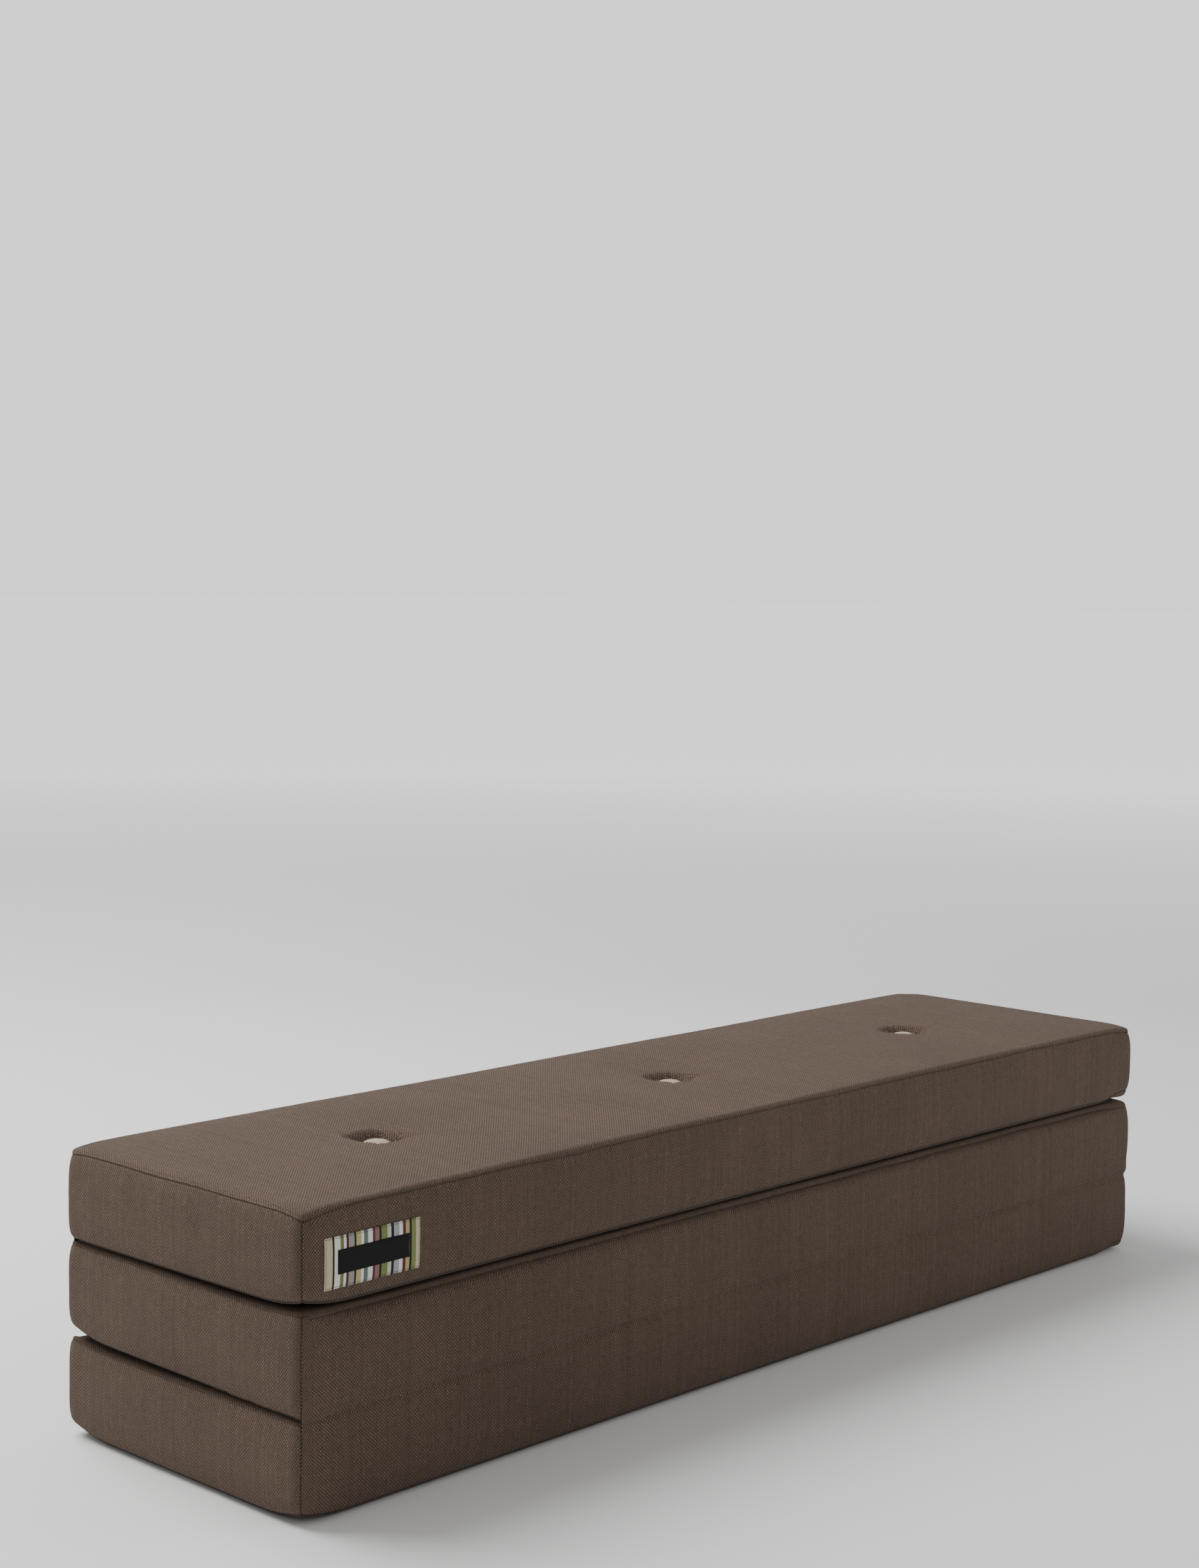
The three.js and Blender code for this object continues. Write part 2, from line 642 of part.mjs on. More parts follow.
for (const pad of pads) {
  pad.sleeping = pad.top.tuft === buttonTuft ? pad.top : pad.bottom;
  pad.back = pad.sleeping === pad.top ? pad.bottom : pad.top;
  addPad(pad);
}
addLabel(pads.at(-1));

export default mattress;
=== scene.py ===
import bmesh
import bpy
import json
import math
import numpy as np
from mathutils import Matrix, Vector

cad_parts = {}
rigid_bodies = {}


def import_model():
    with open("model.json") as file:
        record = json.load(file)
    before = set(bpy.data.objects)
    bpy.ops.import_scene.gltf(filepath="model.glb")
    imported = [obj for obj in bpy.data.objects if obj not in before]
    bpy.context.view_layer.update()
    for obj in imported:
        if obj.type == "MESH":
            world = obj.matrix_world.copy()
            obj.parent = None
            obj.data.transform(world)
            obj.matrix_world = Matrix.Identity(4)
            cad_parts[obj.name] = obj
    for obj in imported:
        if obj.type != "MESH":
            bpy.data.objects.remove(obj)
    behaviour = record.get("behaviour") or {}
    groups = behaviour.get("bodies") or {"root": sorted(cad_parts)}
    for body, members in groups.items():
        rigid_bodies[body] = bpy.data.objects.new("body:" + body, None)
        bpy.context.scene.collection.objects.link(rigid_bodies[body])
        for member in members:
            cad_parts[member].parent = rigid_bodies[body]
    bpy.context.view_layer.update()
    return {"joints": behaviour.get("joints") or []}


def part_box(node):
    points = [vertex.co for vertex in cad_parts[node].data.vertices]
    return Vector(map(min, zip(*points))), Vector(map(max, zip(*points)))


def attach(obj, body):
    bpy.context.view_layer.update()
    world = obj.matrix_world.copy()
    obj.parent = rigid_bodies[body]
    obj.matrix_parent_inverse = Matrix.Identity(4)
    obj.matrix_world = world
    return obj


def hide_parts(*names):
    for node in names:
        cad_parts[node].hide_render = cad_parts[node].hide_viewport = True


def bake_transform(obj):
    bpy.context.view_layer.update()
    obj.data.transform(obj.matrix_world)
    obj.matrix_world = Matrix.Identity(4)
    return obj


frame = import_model()


# The studio
# A pale floor and wide soft lights over the stack, seen through a long lens from its near left
# corner, a little above the top pad.
PHOTO_HEIGHT = 2197      # in pixels, as are the next two
FOCAL_PIXELS = 3524.15
CAMERA_SHIFT_PIXELS = 9.2
SENSOR = 36.0
CAMERA_PLACE = Vector((-2.142, -1.908, 0.8764))
CAMERA_YAW = math.radians(46.592)
CAMERA_PITCH = math.radians(4.943)
CAMERA_ROLL = math.radians(0.8316)
CLIP_END = 200
SOFT_LIGHT, BRIGHT_BACKDROP = 0.5, 1.3    # what the air gives the object, and what the camera sees
FLOOR_HALF = 60.0
FLOOR_PAINT, FLOOR_ROUGHNESS = (0.86, 0.86, 0.85, 1), 0.6
FLOOR_GLOW, GLOW_START, GLOW_END = 0.9, 2.5, 8.0     # the far floor fades into the bright backdrop
WHITE = (1, 1, 1, 1)


def add_object(name, data):
    made = bpy.data.objects.new(name, data)
    bpy.context.scene.collection.objects.link(made)
    return made


def add_camera():
    forward = Vector((math.sin(CAMERA_YAW) * math.cos(CAMERA_PITCH),
                      math.cos(CAMERA_YAW) * math.cos(CAMERA_PITCH), -math.sin(CAMERA_PITCH)))
    level = Vector((math.cos(CAMERA_YAW), -math.sin(CAMERA_YAW), 0))
    upright = level.cross(forward)
    right = level * math.cos(CAMERA_ROLL) + upright * math.sin(CAMERA_ROLL)
    up = upright * math.cos(CAMERA_ROLL) - level * math.sin(CAMERA_ROLL)
    data = bpy.data.cameras.new("camera")
    data.sensor_width = SENSOR
    data.lens = SENSOR * FOCAL_PIXELS / PHOTO_HEIGHT
    data.shift_y = CAMERA_SHIFT_PIXELS / PHOTO_HEIGHT
    data.clip_end = CLIP_END
    camera = add_object("camera", data)
    camera.matrix_world = Matrix([*zip(right, up, -forward, CAMERA_PLACE), (0, 0, 0, 1)])
    bpy.context.scene.camera = camera


def add_light(name, place, target, size, watts):
    data = bpy.data.lights.new(name, "AREA")
    data.shape = "DISK"
    data.size = size
    data.energy = watts
    light = add_object(name, data)
    light.location = place
    light.rotation_euler = (Vector(target) - Vector(place)).to_track_quat("-Z", "Y").to_euler()


def feed(tree, target, inputs):
    """Links a node's inputs to sockets, or sets them to values. They go by identifier, name or number."""
    known = {socket.identifier: socket for socket in target.inputs}
    for name, value in inputs.items():
        socket = known[name] if name in known else target.inputs[name]
        if isinstance(value, bpy.types.NodeSocket):
            tree.links.new(value, socket)
        else:
            socket.default_value = value


def node(tree, kind, inputs={}, **settings):
    """A new node with its settings and its inputs."""
    made = tree.nodes.new(kind)
    for name, value in settings.items():
        setattr(made, name, value)
    feed(tree, made, inputs)
    return made


def stretch(tree, value, start, end, least=0.0, most=1.0):
    """A value mapped from one range to another and held inside it."""
    return node(tree, "ShaderNodeMapRange", {"Value": value, "From Min": start, "From Max": end,
                                             "To Min": least, "To Max": most}).outputs[0]


def object_place(tree):
    return node(tree, "ShaderNodeTexCoord").outputs["Object"]


def finish_of(material):
    """The node tree and the shader of a material."""
    material.use_nodes = True
    return material.node_tree, material.node_tree.nodes["Principled BSDF"]


add_camera()
add_light("top_light", (-1.0, 2.2, 3.4), (0, 0, 0.2), 3.0, 225)
add_light("left_light", (-3.6, 0.6, 1.8), (-0.5, 0, 0.15), 1.8, 5)
add_light("front_light", (3.2, -3.0, 1.6), (0.3, 0, 0.15), 2.4, 34)

world = bpy.data.worlds.new("studio_air")
world.use_nodes = True
air = world.node_tree
seen = node(air, "ShaderNodeLightPath").outputs["Is Camera Ray"]
brightness = stretch(air, seen, 0, 1, SOFT_LIGHT, BRIGHT_BACKDROP)
feed(air, air.nodes["Background"], {"Color": WHITE, "Strength": brightness})
bpy.context.scene.world = world

floor_mesh = bpy.data.meshes.new("floor")
floor_mesh.from_pydata([(x * FLOOR_HALF, y * FLOOR_HALF, 0) for x, y in ((-1, -1), (1, -1), (1, 1), (-1, 1))],
                       [], [(0, 1, 2, 3)])
floor = add_object("floor", floor_mesh)
paint = bpy.data.materials.new("floor_paint")
tree, shader = finish_of(paint)
away = node(tree, "ShaderNodeVectorMath", {0: object_place(tree)}, operation="LENGTH").outputs["Value"]
feed(tree, shader, {"Base Color": FLOOR_PAINT, "Roughness": FLOOR_ROUGHNESS, "Emission Color": WHITE,
                    "Emission Strength": stretch(tree, away, GLOW_START, GLOW_END, 0, FLOOR_GLOW)})
floor_mesh.materials.append(paint)

# The panels
# Each pad has a sleeping panel with three deep tufts and a back panel with three shallow ones, cut
# from brown melange hopsack. Their edges turn over the foam and are sewn to the borders.
PADS = ("lower", "middle", "upper")
TUFT_PLACES = ("left", "centre", "right")
HALF_LENGTH = -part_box("lower_left_border")[0].x
HALF_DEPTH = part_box("middle_rear_hinge_half")[1].y
CORNER = 0.014           # rounding of a pad in plan
CLOTH = 0.0014
SEAM_INSET = 0.004       # how far a seam lies behind the bulge of the borders
SEAM_DROP = 0.009        # how far a panel turns over the edge before its seam
END_DROP_SHARE = {"free": 1, "stacked": 0.65}      # share of it left on the left end
FRONT_RISE = {"free": 0.0025, "stacked": 0.002}   # how much less it turns over along the front
UNDER_INSET, UNDER_DROP = 0.0095, 0.0003    # of the seam under a pad, where the borders roll in
SET_BACK = 0.006         # how much further back the seam of the middle pad lies under the top pad's front
ZIP_FADE = 0.06          # run over which the seam under a pad comes out to the zip
HINGE_END_DROP = 0.003   # the most that a panel turns over where the left end meets a hinge
SEAM_WANDER_SHARE, SEAM_WANDER_LENGTH = 0.12, 0.11
SEAM_CURL = 0.0008       # how far the two cloths turn in to meet in the seam
CURL_REACH_SHARE = 0.035
EDGE_POWER = {"free": 5, "stacked": 2.3}   # how late a panel turns over its edge
SIDE_DRAW = 0.003        # how far the long sides are drawn in half way along
HINGE_FADE = 0.06
HINGE_TUCK = 0.0004      # between the edge of a hinged panel and the hinge cloth in front of it
CREASE, CREASE_WIDTH, CREASE_LENGTH = 0.0029, 0.0035, 0.3      # of a hinge cloth along its fold
HOLLOW, HOLLOW_WIDTH, HOLLOW_LOSS_SHARE = 0.0022, 0.021, 0.6   # the loss is towards the right end
FOLD_WRINKLE, WRINKLE_WIDTH, WRINKLE_LENGTH = 0.002, 0.022, 0.02
CREASE_MEAN, CREASE_SWING, CREASE_LIMITS = 0.75, 0.35, (0.3, 1.1)
WRINKLE_SLANT, WRINKLE_PATCH, PATCH_MEAN, PATCH_SWING = (0.16, 0.05), 0.21, 0.6, 0.4
FOLD_SEED = {"front": 60, "rear": 70}
CROWN, CROWN_POWER = 0.003, 8
FRONT_CROWN_SHARE = {"free": 0.4, "stacked": 0.9}
EAR_DROP = {"free": 0.0035, "stacked": -0.0045, "under": 0.008}   # how much lower its corners lie
EAR_REACH = {"free": 0.022, "stacked": 0.05, "under": 0.032}
TUFTS = [sum(c.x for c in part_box(f"upper_button_{place}")) / 2 for place in TUFT_PLACES]
SEAT = 0.0155            # radius of the flat cloth under a button
HOLE = 0.0024
SLOPE_POWER = 3
FOLD_START, FOLD_REACH, FOLD_REACH_SHARE = 0.003, 0.022, 0.5
SLEEPING_TUFT = {"depth": 0.0152, "reach": 0.08, "pocket": 0.8, "wall": 0.0165,
                 "fold": 0.002, "pleat": 0.0008}
BACK_TUFT = {"depth": 0.0045, "reach": 0.04, "pocket": 0.5, "wall": 0.008, "fold": 0.0005, "pleat": 0.0001}
FOLDS, PLEATS = 11, 46
LIP_SHARES, TURN_SHARES = (0.06, 0.04), (0.22, 0.1)     # how uneven a pocket's lip and its folds are
SWAY, SWAY_LENGTH = 0.0011, 0.24     # the most that a panel wanders below its level
TILE, TILE_CELLS = 0.06, 46
RINGS = [0.052, 0.045, 0.0405, 0.037, 0.034, 0.032, 0.030, 0.0285, 0.027, 0.0255, 0.024, 0.0225, 0.021,
         0.0198, 0.0187, 0.0178, 0.017, 0.0162, SEAT, 0.0148, 0.0125, 0.009, 0.005, HOLE]
EDGE_INSETS = [0, 0.00012, 0.00025, 0.0004, 0.0006, 0.001, 0.0016, 0.0025, 0.0038, 0.0055, 0.0075, 0.0105,
               CORNER]
CELLS = {"sleeping": 0.007, "back": 0.010}
WAVE_RANGE = (0.7, 1.6)      # of wavelengths in a sum of waves, as shares of the one asked for
SIM_CELL, SIM_ROWS, SIM_FRAMES = 0.015, 7, 20
SIM_PRESSURE, SIM_GROWTH = 4, 0.012
SIM_STIFFNESS = {"tension_stiffness": 25, "compression_stiffness": 8, "shear_stiffness": 6,
                 "bending_stiffness": 0.4}
TUFT_HOLD = 0.028        # radius round a tuft where its twine holds the cloth still
PANEL_SWELL = 0.0022     # the most that the settled cloth may stand out
SWELL_PERCENT, SWELL_LEAST_SHARE = 98, -0.4   # this many in a hundred of its places stay within the most


def smooth(share):
    share = np.clip(share, 0, 1)
    return share * share * (3 - 2 * share)


def bell(distance, width):
    return np.exp(-(distance / width) ** 2)


def waves(points, wavelength, seed, count=7):
    """A sum of seeded waves of mixed directions, between about -1 and 1."""
    draw = np.random.default_rng(seed)
    total = np.zeros(len(points))
    for _ in range(count):
        way = draw.normal(size=points.shape[1])
        way *= 2 * math.pi / (np.linalg.norm(way) * wavelength * draw.uniform(*WAVE_RANGE))
        total += np.sin(points @ way + draw.uniform(0, 2 * math.pi))
    return total / math.sqrt(2 * count)


def bow(x):
    return np.maximum(0, 1 - (x / HALF_LENGTH) ** 2)


def off_ends(x):
    """1 along a long side, falling to 0 before its corners."""
    return smooth((HALF_LENGTH - CORNER - abs(x)) / HINGE_FADE)


def footprint(x, y, inset):
    """Place in plan of points of a pad's outline grid, with round corners and drawn-in long sides."""
    core_x, core_y = HALF_LENGTH - CORNER, HALF_DEPTH - CORNER
    over_x = np.maximum(0, abs(x) - core_x) / CORNER
    over_y = np.maximum(0, abs(y) - core_y) / CORNER
    out_x = over_x * np.sqrt(1 - over_y ** 2 / 2) * (CORNER - inset)
    out_y = over_y * np.sqrt(1 - over_x ** 2 / 2) * (CORNER - inset)
    place_x = np.sign(x) * (np.minimum(abs(x), core_x) + out_x)
    place_y = np.sign(y) * (np.minimum(abs(y), core_y) + out_y)
    return place_x, place_y * (1 - SIDE_DRAW / HALF_DEPTH * bow(x) * (y / HALF_DEPTH) ** 2)


def make_face(pad, part, kind, hinge, seed):
    """What is known of a panel. Its hinge is -1 or 1 where its front or its rear edge folds."""
    low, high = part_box(f"{pad}_{kind}_panel")
    side = 1 if part == "top" else -1
    return {"pad": pad, "part": part, "kind": kind, "side": side, "hinge": hinge, "seed": seed,
            "zipped": int(kind == "back"), "level": high.z if side > 0 else low.z,
            "ear": "under" if side < 0 else "free" if pad == "upper" else "stacked",
            "stand": "free" if pad == "upper" and kind == "sleeping" else "stacked",
            "tuft": SLEEPING_TUFT if kind == "sleeping" else BACK_TUFT}


def hinge_share(face, x, y):
    """1 along the hinged edge of a face, falling to 0 before its corners."""
    on_side = face["hinge"] * y > HALF_DEPTH - CORNER - CLOTH
    return np.where(on_side & (face["hinge"] != 0), off_ends(x), 0)


def lie(face, x, y):
    """How far a face has dropped at its points, and how far in its skin and its seam lie."""
    side, hinge, stand, ear_kind = (face[key] for key in ("side", "hinge", "stand", "ear"))
    edge = np.maximum(0, 1 - np.minimum(HALF_LENGTH - abs(x), HALF_DEPTH - abs(y)) / CORNER)
    flat = hinge_share(face, x, y)
    near = np.where((hinge == 0) | (x > 0), 1, 0.5 - hinge * y / (2 * HALF_DEPTH))
    wander = 1 + SEAM_WANDER_SHARE * waves(np.stack([x, y], 1), SEAM_WANDER_LENGTH, face["seed"])
    to_zip = smooth((x - HALF_LENGTH + ZIP_FADE) / (ZIP_FADE - CORNER))
    under = 0 if side > 0 else 1 - face["zipped"] * to_zip
    usual = SEAM_DROP * np.where(x < CORNER - HALF_LENGTH, END_DROP_SHARE[stand], 1)
    full = usual + (UNDER_DROP - usual) * under
    end_drop = np.minimum(full, HINGE_END_DROP)
    front = np.where((hinge >= 0) & (side > 0) & (y < CORNER - HALF_DEPTH), off_ends(x), 0)
    drop = (end_drop + (full - end_drop) * near - FRONT_RISE[stand] * front) * wander * (1 - flat)
    across = np.where(hinge * y > 0, 0, (y / HALF_DEPTH) ** CROWN_POWER)
    across = across * np.where(y < 0, FRONT_CROWN_SHARE[stand], 1)
    along = np.where((x > 0) & (hinge != 0), 0, (x / HALF_LENGTH) ** CROWN_POWER) * near
    crown = CROWN * (1 - (1 - across) * (1 - along))
    to_corner = np.hypot(HALF_LENGTH - abs(x), HALF_DEPTH - abs(y))
    ear = EAR_DROP[ear_kind] * near * (1 - flat) * bell(to_corner, EAR_REACH[ear_kind])
    ear = ear * {"free": 1, "stacked": x < 0, "under": under}[ear_kind]
    inset = SEAM_INSET + SET_BACK * front * (hinge > 0) + (UNDER_INSET - SEAM_INSET) * under
    held = np.minimum(crown, drop) if side > 0 else 0
    dip = crown + ear + (drop - held) * edge ** EDGE_POWER[stand]
    return {"edge": edge, "flat": flat, "dip": dip, "seam": inset * (1 - flat) - SIDE_DRAW * bow(x) * flat}


def tuft_dip(face, x, y):
    """How far the tufts pull the cloth down, with gathers that fan out of each pocket."""
    tuft = face["tuft"]
    draw = np.random.default_rng(face["seed"])
    dip = np.zeros(len(x))
    for centre in TUFTS:
        beyond, angle = np.hypot(x - centre, y) - SEAT, np.arctan2(y, x - centre)
        phase = draw.uniform(0, 2 * math.pi, 4)
        lip = 1 + LIP_SHARES[0] * np.sin(2 * angle + phase[0]) + LIP_SHARES[1] * np.sin(3 * angle + phase[1])
        share = np.clip(beyond / (tuft["reach"] * lip - SEAT), 0, 1)
        wall = 1 - smooth(beyond / (tuft["wall"] * lip))
        dip += tuft["depth"] * (tuft["pocket"] * wall + (1 - tuft["pocket"]) * (1 - share) ** SLOPE_POWER)
        turn = angle + TURN_SHARES[0] * np.sin(2 * angle + phase[2])
        turn += TURN_SHARES[1] * np.sin(5 * angle + phase[3])
        reach = FOLD_REACH * (1 + FOLD_REACH_SHARE * np.sin(4 * angle + phase[0]))
        fade = smooth(beyond / FOLD_START) * np.exp(-(beyond / reach) ** 2 * 2)
        folds = tuft["fold"] * (0.5 + 0.5 * np.cos(FOLDS * turn)) ** 2
        dip += fade * (folds + tuft["pleat"] * np.cos(PLEATS * turn))
    return dip


def fold_depth(side, x, from_line):
    """How far a hinge cloth is folded in at places along it, at heights from the line of its fold."""
    seed, along = FOLD_SEED[side], x[:, None]
    uneven = np.clip(CREASE_MEAN + CREASE_SWING * waves(along, CREASE_LENGTH, seed), *CREASE_LIMITS)
    crease = CREASE * uneven * bell(from_line, CREASE_WIDTH) * off_ends(x)
    hollow = HOLLOW * bell(from_line, HOLLOW_WIDTH) * (1 - HOLLOW_LOSS_SHARE * smooth(x / HALF_LENGTH))
    slanted = np.stack([WRINKLE_SLANT[0] * x, from_line + WRINKLE_SLANT[1] * x], 1)
    wrinkles = np.clip(0.5 + 0.5 * waves(slanted, WRINKLE_LENGTH, seed + 2), 0, 1)
    wrinkles *= bell(from_line, WRINKLE_WIDTH)
    patches = np.clip(PATCH_MEAN + PATCH_SWING * waves(along, WRINKLE_PATCH, seed + 3), 0, 1)
    return crease + hollow + FOLD_WRINKLE * wrinkles * patches


def panel_points(face, corners):
    x, y = corners.T
    lies = lie(face, x, y)
    curl = SEAM_CURL * smooth((lies["edge"] - 1) / CURL_REACH_SHARE + 1) * (1 - lies["flat"])
    behind = fold_depth("front" if face["hinge"] < 0 else "rear", x, 0 * x) + CLOTH + HINGE_TUCK
    place_x, place_y = footprint(x, y, lies["seam"] + behind * lies["flat"] + curl)
    sway = SWAY * np.clip(0.5 + 0.5 * waves(corners, SWAY_LENGTH, face["seed"] + 50), 0, 1)
    depth = lies["dip"] + tuft_dip(face, x, y) + sway * (1 - lies["edge"])
    return np.stack([place_x, place_y, face["level"] - face["side"] * depth], 1)


def plan_lines(half, centres, cell):
    """Grid lines across a face, close together at its edges, with even cells in the square of each tuft."""
    stops = [CORNER - half]
    for centre in centres:
        stops += [centre - TILE, centre + TILE]
    stops.append(half - CORNER)
    lines = [inset - half for inset in EDGE_INSETS]
    for start, end in zip(stops, stops[1:]):
        in_tile = any(abs((start + end) / 2 - centre) < TILE for centre in centres)
        count = TILE_CELLS if in_tile else math.ceil((end - start) / cell)
        lines += [start + (end - start) * (step + 1) / count for step in range(count)]
    return lines + [half - inset for inset in reversed(EDGE_INSETS[:-1])]


def panel_plan(cell):
    """Corners and faces of a panel laid out flat, with rings of cells round each tuft."""
    xs, ys = plan_lines(HALF_LENGTH, TUFTS, cell), plan_lines(HALF_DEPTH, [0], cell)
    corners = [(x, y) for x in xs for y in ys]
    rows = len(ys)
    first_row = ys.index(min(ys, key=lambda y: abs(y + TILE)))
    firsts = [xs.index(min(xs, key=lambda x: abs(x - centre + TILE))) for centre in TUFTS]
    faces = []
    for column in range(len(xs) - 1):
        in_column = any(first <= column < first + TILE_CELLS for first in firsts)
        for row in range(rows - 1):
            if not (in_column and first_row <= row < first_row + TILE_CELLS):
                start = column * rows + row
                faces.append((start, start + rows, start + rows + 1, start + 1))
    steps = range(TILE_CELLS)
    square = [(TILE_CELLS, step) for step in steps] + [(TILE_CELLS - step, TILE_CELLS) for step in steps]
    square += [(0, TILE_CELLS - step) for step in steps] + [(step, 0) for step in steps]
    sides = len(square)
    for first, centre in zip(firsts, TUFTS):
        outer = [(first + column) * rows + first_row + row for column, row in square]
        for radius in RINGS:
            inner = list(range(len(corners), len(corners) + sides))
            for step in range(sides):
                angle = 2 * math.pi * (step / sides - 1 / 8)
                corners.append((centre + radius * math.cos(angle), radius * math.sin(angle)))
            for step in range(sides):
                after = (step + 1) % sides
                faces.append((outer[step], outer[after], inner[after], inner[step]))
            outer = inner
    return np.array(corners), faces


def grid_faces(columns, rows):
    return [(c * rows + r, (c + 1) * rows + r, (c + 1) * rows + r + 1, c * rows + r + 1)
            for c in range(columns - 1) for r in range(rows - 1)]


def sim_grid():
    """Plan lines of the coarse covers, and the loop of their rim."""
    xs = np.linspace(-HALF_LENGTH, HALF_LENGTH, round(2 * HALF_LENGTH / SIM_CELL) + 1)
    ys = np.linspace(-HALF_DEPTH, HALF_DEPTH, round(2 * HALF_DEPTH / SIM_CELL) + 1)
    columns, rows = len(xs), len(ys)
    rim = [(c, 0) for c in range(columns)] + [(columns - 1, r) for r in range(1, rows)]
    rim += [(c, rows - 1) for c in range(columns - 2, -1, -1)] + [(0, r) for r in range(rows - 2, 0, -1)]
    return xs, ys, np.array([c * rows + r for c, r in rim])


def coarse_cover(pad, plan, columns, rows, rim):
    """A closed coarse cover: its points, its faces, the points that seams and twines hold, its rings."""
    top, bottom = (panel_points(FACES[pad, part], plan) for part in ("top", "bottom"))
    waist = [bottom[rim] + (top[rim] - bottom[rim]) * (row / SIM_ROWS) for row in range(1, SIM_ROWS)]
    count, loop = len(plan), len(rim)
    between = [2 * count + level * loop + np.arange(loop) for level in range(SIM_ROWS - 1)]
    rings = [count + rim, *between, rim]
    faces = grid_faces(columns, rows)
    faces += [tuple(count + corner for corner in reversed(face)) for face in grid_faces(columns, rows)]
    for low, high in zip(rings, rings[1:]):
        faces += list(zip(low.tolist(), np.roll(low, -1).tolist(), np.roll(high, -1).tolist(), high.tolist()))
    to_tuft = np.min([np.hypot(plan[:, 0] - centre, plan[:, 1]) for centre in TUFTS], axis=0)
    tufted = np.flatnonzero(to_tuft < TUFT_HOLD)
    corners = [0, columns - 1, columns + rows - 2, 2 * columns + rows - 3]
    held = {*rim.tolist(), *(count + rim).tolist(), *tufted.tolist(), *(count + tufted).tolist()}
    held.update(int(ring[corner]) for ring in rings for corner in corners)
    return np.concatenate([top, bottom, *waist]), faces, sorted(held), rings


def settle(points, faces, held):
    """Where Blender's Cloth moves the points of closed covers under the pressure of their foam."""
    mesh = bpy.data.meshes.new("coarse_covers")
    mesh.from_pydata(points.tolist(), [], faces)
    cover = add_object("coarse_covers", mesh)
    cover.vertex_groups.new(name="held").add(held, 1, "REPLACE")
    cloth = cover.modifiers.new("cloth", "CLOTH")
    cloth.settings.vertex_group_mass = "held"
    cloth.settings.shrink_min = -SIM_GROWTH
    for name, value in SIM_STIFFNESS.items():
        setattr(cloth.settings, name, value)
    cloth.settings.use_pressure = True
    cloth.settings.uniform_pressure_force = SIM_PRESSURE
    cloth.settings.effector_weights.gravity = 0
    cloth.point_cache.frame_end = SIM_FRAMES
    for frame_number in range(1, SIM_FRAMES + 1):
        bpy.context.scene.frame_set(frame_number)
    settled = np.zeros(3 * len(points), np.float32)
    shown = cover.evaluated_get(bpy.context.evaluated_depsgraph_get())
    shown.data.vertices.foreach_get("co", settled)
    bpy.data.objects.remove(cover)
    bpy.context.scene.frame_set(1)
    return settled.reshape(-1, 3).astype(float)


def as_shares(moves):
    return np.clip(moves / np.percentile(abs(moves), SWELL_PERCENT), SWELL_LEAST_SHARE, 1)


def swell_tables():
    """Shares by which the settled cloth stands out: a table for each face, and one for all the sides."""
    xs, ys, rim = sim_grid()
    plan = np.array([(x, y) for x in xs for y in ys])
    shape, count = (len(xs), len(ys)), len(plan)
    tables = {(pad, part): np.zeros(shape) for pad in PADS for part in ("top", "bottom")}
    tables.update({(pad, "sides"): np.zeros((len(rim) + 1, SIM_ROWS + 1)) for pad in PADS})
    covers = [coarse_cover(pad, plan, *shape, rim) for pad in PADS]
    firsts = [row * len(covers[0][0]) for row in range(len(PADS))]
    points = np.concatenate([cover[0] for cover in covers])
    faces = [tuple(first + corner for corner in face)
             for first, cover in zip(firsts, covers) for face in cover[1]]
    held = [first + point for first, cover in zip(firsts, covers) for point in cover[2]]
    moved = settle(points, faces, held) - points
    way = plan[rim] - np.clip(plan[rim], [-xs[-2], -ys[-2]], [xs[-2], ys[-2]])
    way /= np.linalg.norm(way, axis=1)[:, None]
    for pad, first, cover in zip(PADS, firsts, covers):
        for part, start, side in (("top", first, 1), ("bottom", first + count, -1)):
            tables[pad, part] = as_shares(side * moved[start:start + count, 2]).reshape(shape)
        pushed = as_shares(np.stack([np.sum(moved[first + ring, :2] * way, axis=1) for ring in cover[3]], 1))
        tables[pad, "sides"] = np.concatenate([pushed, pushed[:1]])
    return tables


def read_table(table, column, row):
    """Values of a table at places between its points."""
    column = np.clip(column, 0, table.shape[0] - 1.001)
    row = np.clip(row, 0, table.shape[1] - 1.001)
    c, r = column.astype(int), row.astype(int)
    u, v = column - c, row - r
    return ((table[c, r] * (1 - u) + table[c + 1, r] * u) * (1 - v)
            + (table[c, r + 1] * (1 - u) + table[c + 1, r + 1] * u) * v)


def panel_swell(face, x, y):
    table = swells[face["pad"], face["part"]]
    column, row = ((place / half + 1) / 2 * (cells - 1)
                   for place, half, cells in zip((x, y), (HALF_LENGTH, HALF_DEPTH), table.shape))
    return PANEL_SWELL * read_table(table, column, row)


def new_mesh(name, points, faces):
    """A mesh with smooth faces."""
    mesh = bpy.data.meshes.new(name)
    mesh.from_pydata(points, [], faces)
    mesh.polygons.foreach_set("use_smooth", [True] * len(faces))
    return mesh


def lay_map(mesh, name, places):
    """A map on a mesh, given as one place for each of its points."""
    corners = np.zeros(len(mesh.loops), int)
    mesh.loops.foreach_get("vertex_index", corners)
    layer = mesh.uv_layers.new(name=name)
    layer.data.foreach_set("uv", np.asarray(places)[corners].astype(np.float32).ravel())


def add_piece(mesh, materials, pads, nodes, thickness=0):
    for material in materials:
        mesh.materials.append(material)
    piece = add_object(mesh.name, mesh)
    if thickness:
        wall = piece.modifiers.new("cloth_thickness", "SOLIDIFY")
        wall.thickness = thickness
        wall.offset = -1
        wall.material_offset_rim = len(materials) - 1
    if len(pads) == 1:
        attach(piece, f"{pads[0]}_pad")
    if nodes:
        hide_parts(*nodes)
    return piece


